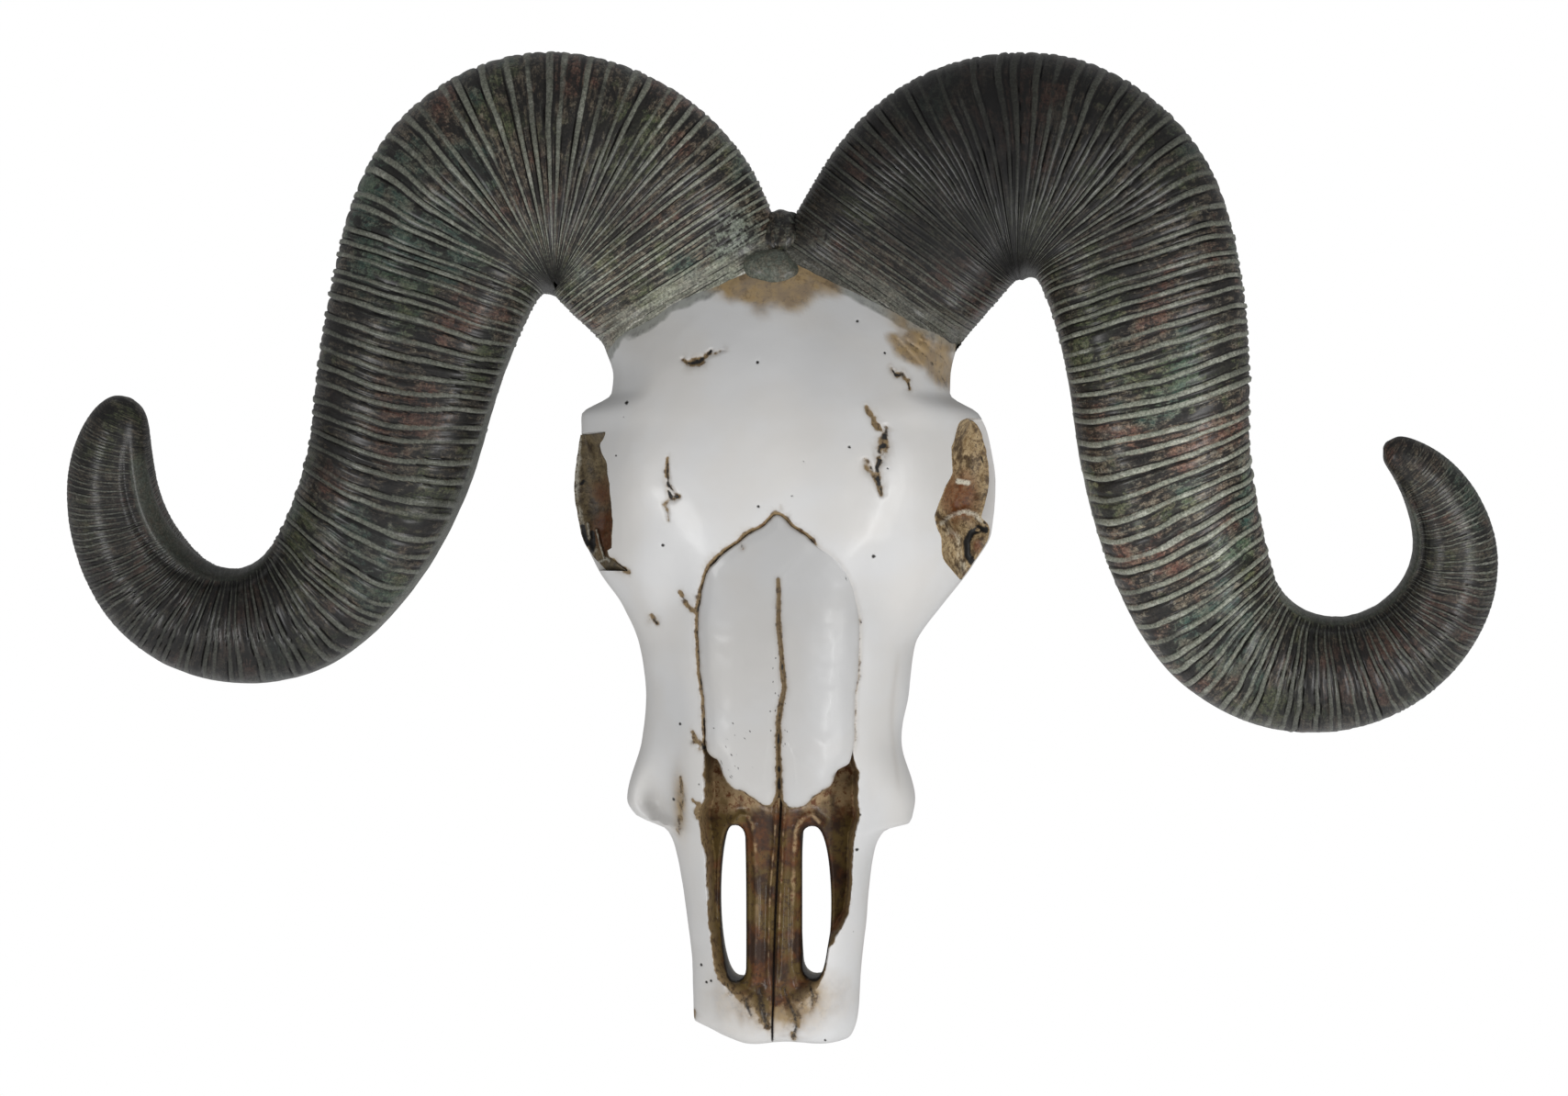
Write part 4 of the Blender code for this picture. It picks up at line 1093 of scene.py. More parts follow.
# Single dark specks: across, height, radius.
SPECKS = (
    (-6.2, -22.0, 0.7), (29.0, -54.4, 0.7), (38.1, -95.7, 0.9), (-5.2, -76.9, 0.7), (-42.3, -91.5, 0.7),
    (-57.1, -36.8, 0.9), (31.4, -5.6, 0.7), (-41.3, -190.7, 0.7), (30.6, -209.6, 0.8), (32.1, -195.6, 0.6),
    (17.6, -285.4, 0.7), (-37.4, -160.4, 0.6), (-31.0, -256.0, 0.7), (28.8, -242.3, 0.4), (43.4, -62.4, 0.5),
    (-28.9, -262.7, 0.6), (-27.0, -261.9, 0.6), (-61.0, -57.0, 0.5), (-30.0, -183.6, 0.5),
    (33.0, -121.0, 0.4), (7.5, -72.8, 0.4), (27.4, -104.2, 0.5), (-58.2, -42.2, 0.4), (42.0, -18.0, 0.5),
    (12.0, -60.0, 0.35),
)


def splatter(count: int) -> Rows:
    """Fine specks over the foot of the nasal plate, denser at its left and along the slit."""
    cells = np.stack([np.arange(count), np.zeros(count), np.zeros(count)], axis=1)
    first, second, third = (lattice_value(cells, seed) for seed in (61, 63, 67))
    across = np.where(third > 0.2, 1.6 + 3.2 * first, -24.0 + 16.0 * np.abs(first))
    height = np.where(third > 0.2, -160.0 + 26.0 * second, -172.0 + 13.0 * second)
    return tuple(zip(across.tolist(), height.tolist(), (0.28 + 0.1 * np.abs(third)).tolist()))


# Lines in the opening: the groove along the septum and a ridge on each side of it, the worn rims
# of the slots and the pits at the tip.
GROOVE: Path = ((1.2, -186.0), (1.0, -194.3), (-0.7, -217.1), (-1.7, -236.5), (-2.2, -253.8), (-2.5, -270.1),
                (-3.0, -286.0))
RIDGES: tuple[Path, Path] = (
    ((-0.8, -188.0), (-0.8, -194.8), (-1.8, -207.4), (-2.8, -217.1), (-3.6, -225.7), (-4.1, -238.7),
     (-4.3, -251.6), (-4.4, -262.5), (-4.1, -268.0)),
    ((2.9, -188.0), (2.7, -194.3), (1.7, -205.2), (1.2, -217.1), (0.5, -226.8), (0.0, -238.6),
     (-0.4, -248.4), (-0.7, -260.3), (-1.0, -266.0)),
)
RIMS: tuple[Path, Path] = (
    ((-17.4, -199.2), (-14.8, -196.6), (-11.9, -196.9), (-9.9, -199.9), (-9.4, -207.4), (-9.2, -221.5),
     (-9.0, -232.2), (-9.2, -243.0), (-9.6, -257.1), (-10.6, -263.0)),
    ((15.9, -199.3), (13.4, -196.5), (9.8, -197.3), (7.1, -200.8), (6.1, -208.4), (5.4, -221.4),
     (5.2, -234.3), (4.8, -245.1), (4.8, -255.9), (7.0, -263.2), (11.6, -265.6)),
)
PITS = (
    Crack(((-13.0, -268.4), (-12.2, -272.4), (-11.1, -274.9)), 1.5, 0.9, 0.9, 0.8, 2.4),
    Crack(((-8.0, -264.8), (-6.6, -272.8), (-5.0, -279.4)), 2.1, 1.6, 1.0, 1.0, 2.4),
    Crack(((1.8, -264.6), (3.6, -270.0), (6.2, -274.8), (6.4, -279.1), (5.4, -283.0)),
          1.4, 1.1, 0.95, 1.0, 2.0),
    Crack(((5.4, -282.6), (5.2, -284.6)), 1.6, 1.2, 1.0, 0.8, 1.6),
    Crack(((12.2, -262.5), (13.0, -266.5), (12.8, -271.5)), 1.3, 1.0, 0.9, 0.9, 2.2),
    Crack(((-20.6, -262.6), (-19.1, -266.6)), 1.0, 0.7, 0.8, 0.9, 1.6),
    Crack(((-34.4, -275.0), (-34.6, -278.0)), 0.9, 0.3, 0.4, 0.8, 1.2),
)

# How open the joint round the plate is, against the share of the way round it.
SUTURE_WEIGHT: Table = ((0.0, 1.0), (0.17, 1.0), (0.235, 0.95), (0.27, 0.06), (0.34, 0.06), (0.38, 0.28),
                        (0.5, 0.34), (0.56, 0.25), (0.6, 0.5), (1.0, 0.9))


@dataclass(frozen=True)
class Blot:
    """A soft oval mark on the front: its centre and its half-width and half-height."""

    across: float
    height: float
    wide: float
    high: float

    def weight(self, x: np.ndarray, z: np.ndarray) -> np.ndarray:
        """Weight of the mark at every point, from 0 to 1."""
        return bump(np.hypot((x - self.across) / self.wide, (z - self.height) / self.high), 1.0)


@dataclass
class BoneRelief:
    """Everything that is carved or pressed into the front of the bone, and the paint that follows it."""

    suture: Path = field(default_factory=lambda: NASAL.outline())
    floor_depth: Table = ((-292, 0.0), (-284, 0.6), (-274, 3.0), (-266, 6.5), (-258, 10.5), (-245, 14.5),
                          (-225, 18.0), (-203, 20.0), (-190, 22.0), (-158, 22.5))
    wall_width: Table = ((-284, 16.0), (-270, 11.0), (-262, 6.5), (-250, 3.6), (-225, 3.0), (-203, 3.4),
                         (-158, 3.0))
    plate_bed: float = 4.8
    septum_middle: Table = ((-286, -3.0), (-254, -2.2), (-217, -0.7), (-188, 1.2))
    septum_half: float = 8.6
    septum_rise: float = 3.2
    ridge_rise: float = 1.5
    rim_rise: float = 1.9
    slot_drop: float = 2.6
    crease_line: Table = ((-190, 47.0), (-160, 44.0), (-130, 47.0))
    tip_cover: Table = ((-292, 0.0), (-284, 0.05), (-279, 0.16), (-273, 0.42), (-267, 0.8), (-261, 1.0),
                        (-150, 1.0))
    tip_cloud: Blot = Blot(-0.5, -268.0, 20.0, 11.5)
    tip_core: Blot = Blot(-3.0, -265.5, 12.0, 9.5)
    jaw_smudge: Blot = Blot(-38.4, -191.5, 3.1, 11.0)

    def drop(self, x: np.ndarray, z: np.ndarray) -> tuple[np.ndarray, dict[str, np.ndarray]]:
        """How far each point of the front lies behind the plain form.

        Args:
            x: Across of each point.
            z: Height of each point.

        Returns:
            The drop in millimetres, and the paint's numbers from 0 to 1 by name.
        """
        places = flat_places(x, z)
        ragged = rough_noise(places, 3.0, 5, 4)
        fine = rough_noise(places, 1.2, 8, 3)
        drop, wash, dark = (np.zeros(x.shape) for _ in range(3))
        for crack in CRACKS:
            cut, line, halo = crack.draw(x, z, ragged)
            drop = np.maximum(drop, cut)
            dark, wash = np.maximum(dark, line), np.maximum(wash, halo)
        for across, height, radius in SPECKS:
            spot = bump(np.hypot(x - across, z - height) + 0.25 * fine, radius)
            dark = np.maximum(dark, spot)
            drop = drop + 0.25 * spot
        bed, bed_dark, bed_wash, bed_pale = self.plate(x, z, ragged)
        floor, floor_paint = self.opening(x, z, ragged, fine)
        crease = bump(x - eased(self.crease_line, z), 0.9)
        crease = crease * smooth_step(-192, -180, z) * (1 - smooth_step(-142, -128, z))
        return np.maximum(drop + 0.3 * crease, np.maximum(bed, floor)), {
            "wash": np.maximum.reduce([wash, 0.22 * crease, bed_wash, floor_paint["wash"]]),
            "dark": np.maximum.reduce([dark, bed_dark, floor_paint["dark"]]),
            "pale": np.maximum(floor_paint["pale"], bed_pale),
            "deep": floor_paint["deep"],
            "cloud": np.maximum(floor_paint["cloud"], self.jaw_smudge.weight(x, z)),
        }

    def plate(self, x: np.ndarray, z: np.ndarray, ragged: np.ndarray) -> tuple[np.ndarray, ...]:
        """The bed of the nasal plate and the suture round it: depth, dark, brown and tan."""
        near = (np.abs(x) < 42) & (z < -70) & (z > -202)
        bed, dark, wash, pale = (np.zeros(x.shape) for _ in range(4))
        rag, inside = ragged[near], inside_distance(x[near], z[near], self.suture)
        _, share = path_distance(x[near], z[near], (*self.suture, self.suture[0]))
        weight = eased(SUTURE_WEIGHT, share) * np.clip(1 + 0.5 * rag, 0.2, 1.4)
        in_bed = smooth_step(0.0, 0.9, inside - 1.6 * (1 - np.clip(weight * 1.4, 0, 1)))
        vee = 0.95 * weight * bump(np.minimum(inside, 0.0), 0.35 + 0.5 * weight)
        above_foot = smooth_step(-175.0, -169.0, z[near])
        bed[near] = np.maximum(self.plate_bed * in_bed, vee * above_foot)
        specks = np.clip(0.3 + 1.6 * rag, 0.12, 0.9)
        dark[near] = np.clip(1.25 * weight - 0.25, 0, 1) * bump(inside, 0.5) * above_foot * specks
        reach = 1.1 + 0.9 * weight * np.clip(rag + 0.3, 0, 1.2)
        wash[near] = np.clip(0.22 + weight, 0, 1) * bump(inside, reach) * above_foot
        pale[near] = 0.75 * wash[near] * np.clip(0.5 - rag, 0, 1)
        return bed, dark, wash, pale

    def opening(
        self, x: np.ndarray, z: np.ndarray, ragged: np.ndarray, fine: np.ndarray
    ) -> tuple[np.ndarray, dict[str, np.ndarray]]:
        """The nasal opening and its floor: depth and paint."""
        near = (np.abs(x) < 40) & (z < -152) & (z > -293)
        px, pz, rag, grain = x[near], z[near], ragged[near], fine[near]
        inside = inside_distance(px, pz, OPENING)
        fall = smooth_step(0.0, 1.0, (inside + 0.35 * rag) / eased(self.wall_width, pz))
        depth = eased(self.floor_depth, pz) * fall
        depth, between, vee, ridge_light = self.septum(px, pz, rag, depth)
        # The slots' painted shade, to which the pits' own dark is then added.
        depth, slot_shade_and_pit_dark, rim_light = self.rims(px, pz, rag, grain, depth)
        depth, slot_shade_and_pit_dark, pit_wash = self.pits(px, pz, rag, grain, depth, slot_shade_and_pit_dark)
        stained, cloud = self.tip_stain(px, pz, rag, inside)
        gloom = 0.4 * between * (1 - ridge_light) * (1 - rim_light) * np.clip(0.8 + 0.8 * rag, 0, 1)
        dark = np.maximum.reduce([slot_shade_and_pit_dark, 0.95 * vee * smooth_step(-291, -286, pz), gloom])
        # Under the plate's overhang the floor is painted paler, as painted light against its shade.
        painted_light_under_plate = smooth_step(-206, -190, pz) * fall * np.clip(0.9 + 0.5 * rag, 0.4, 1)
        light = np.maximum.reduce([0.8 * ridge_light, 0.75 * rim_light, 0.85 * painted_light_under_plate])
        found = {
            "wash": np.maximum(pit_wash, stained),
            "dark": dark * (1 - 0.9 * ridge_light),
            "pale": light * (1 - slot_shade_and_pit_dark),
            "deep": fall,
            "cloud": cloud,
            "drop": depth,
        }
        paint = {name: np.zeros(x.shape) for name in found}
        for name, values in found.items():
            paint[name][near] = values
        return paint.pop("drop"), paint

    def septum(
        self, x: np.ndarray, z: np.ndarray, ragged: np.ndarray, depth: np.ndarray
    ) -> tuple[np.ndarray, ...]:
        """The wall between the slots, with its groove and two ridges.

        Args:
            x: Across of each point.
            z: Height of each point.
            ragged: Noise at each point.
            depth: Depth of the floor so far.

        Returns:
            The new depth, and weights of the wall, the groove and the light on the ridges.
        """
        between = bump(np.abs(x - eased(self.septum_middle, z)), self.septum_half)
        between = between * smooth_step(-272, -258, z) * (1 - smooth_step(-196, -184, z))
        vee = bump(path_distance(x, z, GROOVE)[0], 0.55)
        depth = depth - self.septum_rise * between + self.ridge_rise * vee
        light = np.zeros(x.shape)
        for path in RIDGES:
            far, share = path_distance(x, z, path)
            ridge = bump(far, 0.75 + 0.15 * ragged) * (1 - smooth_step(0.8, 1.0, share))
            ridge = ridge * smooth_step(0.0, 0.06, share)
            depth = depth - self.ridge_rise * ridge
            light = np.maximum(light, ridge * np.clip(0.7 + 0.8 * ragged, 0, 0.9))
        return depth, between, vee, light

    def rims(
        self, x: np.ndarray, z: np.ndarray, ragged: np.ndarray, grain: np.ndarray, depth: np.ndarray
    ) -> tuple[np.ndarray, ...]:
        """The slots' sunk edges and worn rims.

        Args:
            x: Across of each point.
            z: Height of each point.
            ragged: Noise at each point.
            grain: Finer noise at each point.
            depth: Depth of the floor so far.

        Returns:
            The new depth, and weights of the painted shade in the slots and the light on the rims.
        """
        dark, light = np.zeros(x.shape), np.zeros(x.shape)
        for slot, path in zip(SLOTS, RIMS):
            away = -inside_distance(x, z, slot.outline())
            far, share = path_distance(x, z, path)
            strength = 1 - 0.35 * smooth_step(0.3, 0.9, share)
            depth = depth + self.slot_drop * (1 - smooth_step(-0.2, 1.3, away))
            depth = depth - self.rim_rise * bump(far, 1.6 + 0.2 * ragged) * strength
            light = np.maximum(light, np.clip(bump(far, 1.5) * (0.85 + 0.9 * ragged), 0, 1) * strength)
            # Black painted shade in and just round each through-slot.
            dark = np.maximum(dark, 0.85 * (1 - smooth_step(0.0, 1.0, away + 0.25 * grain)))
        return depth, dark, light

    def pits(
        self,
        x: np.ndarray,
        z: np.ndarray,
        ragged: np.ndarray,
        grain: np.ndarray,
        depth: np.ndarray,
        dark: np.ndarray,
    ) -> tuple[np.ndarray, ...]:
        """The pits at the tip.

        Args:
            x: Across of each point.
            z: Height of each point.
            ragged: Noise at each point.
            grain: Finer noise at each point.
            depth: Depth of the floor so far.
            dark: Weight of the black so far, the slots' painted shade among it.

        Returns:
            The new depth and weight of black, and the weight of brown wash.
        """
        wash = np.zeros(x.shape)
        for pit in PITS:
            far, share = path_distance(x + 0.45 * ragged, z, pit.path)
            width = pit.width * (0.55 + 0.55 * np.sin(math.pi * np.clip(share, 0.05, 0.95)))
            width = width * (1 + 0.3 * ragged)
            depth = np.maximum(depth, 0.0) + pit.depth * bump(far, width)
            line = 0.66 * pit.dark * bump(far, width * 0.85)
            dark = np.maximum(dark, line * np.clip(1.0 + 0.5 * grain, 0.6, 1))
            wash = np.maximum(wash, pit.wash * bump(far, width * 1.9) * np.clip(0.9 + ragged, 0, 1))
        return depth, dark, wash

    def tip_stain(
        self, x: np.ndarray, z: np.ndarray, ragged: np.ndarray, inside: np.ndarray
    ) -> tuple[np.ndarray, np.ndarray]:
        """Weights of the brown in the floor and of the paler cloud round the tip."""
        low = eased(self.tip_cover, z)
        stained = smooth_step(-0.4, 1.1, inside + 0.9 * ragged - 2.6 * (1 - low))
        stained = stained * np.clip(low + 0.35 * ragged * (1 - low), 0, 1)
        core = 0.85 * self.tip_core.weight(x, z) * np.clip(1.0 + 0.8 * ragged, 0.4, 1.2)
        cloud = np.clip(self.tip_cloud.weight(x, z) * (1.6 + 0.7 * ragged) - 0.1, 0, 1.0)
        return np.maximum(stained, core), cloud


@dataclass
class BoneCasting:
    """The skull's bone in one seamless piece: face, sockets' pockets, nasal opening and flat back."""

    front_steps: int = 138
    side_steps: int = 12
    back_steps: int = 20
    row_step: float = 1.58
    top: float = 22.0
    foot: float = -293.0
    tip_zone: float = -262.0
    roof_zone: float = -18.0
    roof_above_seat: float = 7.0
    tip_edge: Table = ((-60, -279.0), (-35, -280.0), (-30, -281.4), (-22, -284.6), (-12, -287.4), (2, -286.2),
                       (17, -287.4), (25, -286.8), (60, -286.0))
    tip_round: float = 4.0
    smear_reach: Table = ((-72, 3.4), (-48, 3.0), (-34, 2.0), (-8, 2.0), (20, 1.2), (40, 1.5), (60, 2.0),
                          (70, 3.0))
    stain_foot: Table = ((-30, 8.5), (-24, 6.0), (-17, 3.0), (-12, 0.0), (-8, -1.2), (10, -1.6), (14, 1.5),
                         (18, 4.5), (28, 5.5))
    temple_stain: Path = ((44.0, -10.5), (52.0, -9.0), (66.0, -14.0), (70.0, -24.0), (69.0, -32.0),
                          (62.0, -28.0), (53.0, -22.5), (46.0, -17.0))
    slot_rings: Table = ((130.0, 0.0), (39.0, 0.0), (-5.0, 2.4))
    hanger_cuts: Rows = ((51.0, 14.0, 2.1), (28.0, 11.0, 6.0))
    hanger_height: float = -24.0
    overrun: float = 5.0
    relief: BoneRelief = field(default_factory=BoneRelief)

    def build(self, pockets: list[bpy.types.Object]) -> bpy.types.Object:
        """Builds the bone.

        Args:
            pockets: Guides that the sockets are cut with.

        Returns:
            The finished mesh, undressed.
        """
        rows = int((self.top - self.foot) / self.row_step)
        heights = np.linspace(self.foot, self.top, rows + 1)
        counts = (self.front_steps, self.side_steps, self.back_steps)
        places = self.shape_ends(np.stack([FORM.ring(height, counts) for height in heights]))
        sheet = grid_sheet(places.shape[1] - 1, rows)
        lay_on(sheet, places * MM)
        close_tube(sheet)
        self.refine(sheet)
        made = to_object(sheet, "skull_bone")
        self.carve(made)
        cut_with(made, pockets + self.slot_guides() + self.hanger_guides())
        self.paint(made)
        round_shading(made, 60.0)
        return made

    def shape_ends(self, places: np.ndarray) -> np.ndarray:
        """Bends the lowest rows to the tip's edge and the highest to a roof under the horns."""
        x, y, z = (places[..., k].copy() for k in range(3))
        across, tip = x, z < self.tip_zone
        for _ in range(3):
            edge = eased(self.tip_edge, across)
            share = np.clip((z - self.tip_zone) / (self.foot - self.tip_zone), 0, 1)
            low = self.tip_zone + (edge - self.tip_zone) * share
            roof = SEAT.line(across) + self.roof_above_seat
            rise = np.clip((z - self.roof_zone) / (self.top - self.roof_zone), 0, 1)
            high = self.roof_zone + (roof - self.roof_zone) * rise
            height = np.where(tip, low, np.where(z > self.roof_zone, high, z))
            across = x * FORM.half(x, height) / FORM.half(x, z)
        in_front = np.arange(x.shape[1]) <= self.front_steps
        sides = y * FORM.value("side", height) / FORM.value("side", z)
        y = np.where(in_front, -FORM.standoff(across, height), sides)
        inset = np.clip(1 - (height - edge) / self.tip_round, 0, 1) * tip
        shrink = self.tip_round * (1 - np.sqrt(np.clip(1 - inset**2, 0, 1)))
        places[..., 0] = across
        places[..., 1] = np.minimum(y + shrink * (y < -8), 0.0)
        places[..., 2] = height
        return places

    def refine(self, sheet: bmesh.types.BMesh) -> None:
        """Divides the front of the sheet more finely wherever something is carved into it."""
        sheet.verts.ensure_lookup_table()
        points = np.array([vert.co[:] for vert in sheet.verts]) / MM
        x, y, z = points.T
        front = y < -FORM.value("side", z) * 0.8
        close = np.zeros(len(points), bool)
        for crack in CRACKS:
            far, _ = path_distance(x, z, crack.path)
            close |= far < 3.2
        for across, height, _ in SPECKS:
            close |= np.hypot(x - across, z - height) < 2.4
        outline = NASAL.outline()
        far, _ = path_distance(x, z, (*outline, outline[0]))
        close |= (far < 2.4) & (z > -172)
        inside = inside_distance(x, z, OPENING)
        close |= (inside > -2.2) & (z < -168)
        chosen = set(np.flatnonzero(close & front).tolist())
        edges = [e for e in sheet.edges if e.verts[0].index in chosen and e.verts[1].index in chosen]
        bmesh.ops.subdivide_edges(sheet, edges=edges, cuts=2, use_grid_fill=True)

    def carve(self, made: bpy.types.Object) -> None:
        """Presses the relief into the front and gives the whole cast its unevenness."""
        points, normals = read_points(made), read_normals(made)
        x, y, z = points.T
        front = y < -FORM.value("side", z) * 0.95
        drop, _ = self.relief.drop(x, z)
        quiet = np.where(y > -1.0, 0.0, 1.0)[:, None]
        points += normals * unevenness(points)[:, None] * quiet
        points[:, 1] += drop * front
        points[:, 1] = np.minimum(points[:, 1], 0.0)
        write_points(made, points)

    def slot_guides(self) -> list[bpy.types.Object]:
        """Prisms that cut the two slots, wider towards the wall."""
        guides = []
        for slot in SLOTS:
            build = bmesh.new()
            loops = []
            for stand, grow in self.slot_rings:
                ring = [build.verts.new((x * MM, -stand * MM, z * MM)) for x, z in slot.outline(grow)]
                loops.append([build.edges.new((a, b)) for a, b in zip(ring, ring[1:] + ring[:1])])
            for near, far in zip(loops, loops[1:]):
                bmesh.ops.bridge_loops(build, edges=near + far)
            for loop in (loops[0], loops[-1]):
                bmesh.ops.holes_fill(build, edges=loop, sides=0)
            guides.append(to_object(build, "slot_guide"))
        return guides

    def hanger_guides(self) -> list[bpy.types.Object]:
        """Boxes that cut the hanger's recess and the nail's pocket into the back."""
        guides = []
        for wide, high, deep in self.hanger_cuts:
            build = bmesh.new()
            bmesh.ops.create_cube(build, size=1.0)
            size = (wide * MM, (deep + self.overrun) * MM, high * MM)
            place = (0, (self.overrun - deep) / 2 * MM, self.hanger_height * MM)
            bmesh.ops.scale(build, vec=size, verts=build.verts)
            bmesh.ops.translate(build, vec=place, verts=build.verts)
            guides.append(to_object(build, "hanger_guide"))
        return guides

    def paint(self, made: bpy.types.Object) -> None:
        """Stores on every vertex what the paint follows."""
        points = read_points(made)
        x, y, z = points.T
        front = smooth_step(-8.0, -24.0, y)
        drop, marks = self.relief.drop(x, z)
        in_slot = np.maximum(*(inside_distance(x, z, slot.outline(3.0)) for slot in SLOTS)) > 0
        # The slots' walls are painted dark, as painted shade inside the slots.
        slot_wall_shade = in_slot * smooth_step(1.0, 3.0, y + FORM.standoff(x, z) - drop)
        seat_gap = SEAT.worn_line(x) - z
        ragged = rough_noise(flat_places(x, z), 6.0, 21, 4)
        reach = eased(self.smear_reach, x)
        smear = 1 - smooth_step(-1.5, reach, seat_gap - 0.9 * reach * ragged)
        boss_stain = smooth_step(-3.2, 4.2, z - eased(self.stain_foot, x) + 3.6 * ragged)
        boss_stain = boss_stain * smooth_step(29.0, 22.0, np.abs(x + 1))
        temple = smooth_step(-2.5, 1.5, inside_distance(x, z, self.temple_stain) + 2.0 * ragged)
        temple = temple * np.clip(1.0 + 0.3 * ragged, 0.75, 1)
        band = bump(np.clip(seat_gap - 1.5, 0, None), 2.4) * smooth_step(38, 50, x) * 0.8
        band = band * np.clip(0.6 + ragged, 0, 1)
        # The right of the forehead, from above the eyes up, is painted slightly darker as painted shade.
        painted_shade_patch = smooth_step(0.0, 20.0, x) * (1 - smooth_step(40.0, 55.0, x)) * smooth_step(-140.0, -110.0, z)
        write_numbers(made, {
            "wash": np.maximum(marks["wash"] * front * (1 - 0.8 * temple), 0.3 * temple),
            "dark": np.maximum(marks["dark"] * front, 0.8 * slot_wall_shade),
            "pale": marks["pale"] * front,
            "deep": np.maximum(marks["deep"] * front, slot_wall_shade),
            "rust": np.maximum.reduce([boss_stain, temple, band, marks["cloud"] * front]),
            "smear": np.clip(smear, 0, 1) * (z > -60),
            "bare": smooth_step(-14.0, -3.0, y),
            "tint": 1 - 0.08 * painted_shade_patch * front,
        })


@dataclass
class NasalPlate:
    """The nasal bones: one loose plate over the top of the nasal opening, slit along its middle."""

    columns: int = 132
    rows: int = 176
    thickness: float = 4.2
    lift: float = 0.55
    inset: float = 0.3
    edge_round: float = 1.0
    slit: Path = ((2.1, -104.6), (2.2, -110.0), (2.0, -121.4), (2.9, -132.3), (3.8, -146.4), (2.2, -154.0),
                  (1.5, -159.1), (1.4, -170.0), (1.5, -180.0), (1.2, -189.6), (1.0, -194.0))
    slit_width: Table = ((0, 0.2), (0.1, 0.42), (0.4, 0.6), (0.7, 0.65), (0.9, 0.75), (1, 1.2))
    slit_depth: Table = ((0, 0.25), (0.15, 0.55), (0.5, 0.9), (0.8, 1.6), (1, 2.6))
    # Painted shade over the nasal plate: darkest near its middle and towards its top.
    painted_shade_across: Table = ((-30, 0.84), (0, 0.8), (10, 0.78), (30, 0.84))
    painted_shade_down: Table = ((-175, 1.0), (-110, 0.84))
    crowds_across: Rows = ((-1.0, 0.05, 4.0), (0.03, 0.14, 3.0), (1.0, 0.05, 4.0))
    crowds_down: Rows = ((0.0, 0.02, 3.0), (1.0, 0.05, 3.0))
    fine_specks: int = 60
    fine_steps: int = 2000

    def build(self) -> bpy.types.Object:
        """Builds the plate.

        Returns:
            The finished mesh, undressed.
        """
        sheet = grid_sheet(self.columns, self.rows)
        front, numbers = self.shape(*self.spread())
        lay_on(sheet, front * MM, numbers)
        extruded = bmesh.ops.extrude_face_region(sheet, geom=list(sheet.faces))["geom"]
        behind = [part for part in extruded if isinstance(part, bmesh.types.BMVert)]
        bmesh.ops.translate(sheet, vec=(0.0, self.thickness * MM, 0.0), verts=behind)
        made = to_object(sheet, "nasal_plate")
        round_shading(made, 60.0)
        self.paint(made)
        return made

    def spread(self) -> tuple[np.ndarray, np.ndarray]:
        """Across and height of every vertex, closer together along the edges and the slit."""
        share = self.crowded(self.columns, self.crowds_across, -1.0, 1.0)
        down = self.crowded(self.rows, self.crowds_down, 0.0, 1.0)
        top, foot = eased(NASAL.top, share), eased(NASAL.foot, share)
        z = top[None, :] + (foot - top)[None, :] * down[:, None]
        x = NASAL.edge(np.broadcast_to(share[None, :], z.shape), z)
        return self.drawn_in(*NASAL.worn(x, z))

    def shape(self, x: np.ndarray, z: np.ndarray) -> tuple[np.ndarray, dict[str, np.ndarray]]:
        """The plate's front.

        Args:
            x: Across of each vertex.
            z: Height of each vertex.

        Returns:
            Places in millimetres, and the paint's numbers by name.
        """
        outline = NASAL.outline()
        inside = inside_distance(x, z, outline)
        _, along = path_distance(x, z, (*outline, outline[0]))
        loose = np.clip(eased(SUTURE_WEIGHT, along) * 1.4, 0.1, 1.0)
        places = flat_places(x, z)
        ragged = rough_noise(places, 3.0, 55, 4)
        slit, share = path_distance(x, z, self.slit)
        width = eased(self.slit_width, share) * (1 + 0.45 * ragged)
        off = np.clip(1 - (inside - self.inset) / self.edge_round, 0, 1)
        rounded = self.edge_round * (1 - np.sqrt(np.clip(1 - off**2, 0, 1))) * loose
        stand = FORM.standoff(x, z) + self.lift * loose * smooth_step(0.0, 5.0, inside) + 0.1 * (loose - 0.1)
        stand = stand - rounded - eased(self.slit_depth, share) * bump(slit, np.maximum(width, 0.12))
        stand = stand - 0.35 * bump(slit, 2.4) * smooth_step(0.1, 0.4, share)
        stand = stand + 0.1 * noise(places, 6.0, 15) * smooth_step(0.0, 3.0, inside)
        front = np.stack([x, -stand, z], axis=-1)
        front[..., 1] -= unevenness(front)
        lip = smooth_step(-172.0, -186.0, z) * bump(inside, 1.6)
        seam = bump(inside, 0.9 + 0.8 * np.clip(ragged + 0.2, 0, 1)) * loose
        wash_line = bump(slit, 1.7 * np.maximum(width, 0.4) + 0.55)
        dark_line = bump(slit, 0.8 * np.maximum(width, 0.14))
        return front, {
            "wash": np.clip(0.6 * seam + wash_line * 0.95 + 0.35 * lip, 0, 1),
            "dark": dark_line * np.clip(0.05 + 1.3 * ragged + 0.75 * share**3, 0.03, 1),
        }

    def crowded(self, steps: int, places: Rows, low: float, high: float) -> np.ndarray:
        """Steps from low to high that lie closer round the given places.

        Args:
            steps: Number of steps.
            places: Rows of place, reach and strength.
            low: The first value.
            high: The last value.

        Returns:
            The values, one more than the steps.
        """
        fine = np.linspace(low, high, self.fine_steps + 1)
        density = 1.0 + sum(strength * bump(fine - place, reach) for place, reach, strength in places)
        total = np.concatenate([[0.0], np.cumsum((density[1:] + density[:-1]) / 2)])
        return np.interp(np.linspace(0.0, total[-1], steps + 1), total, fine)

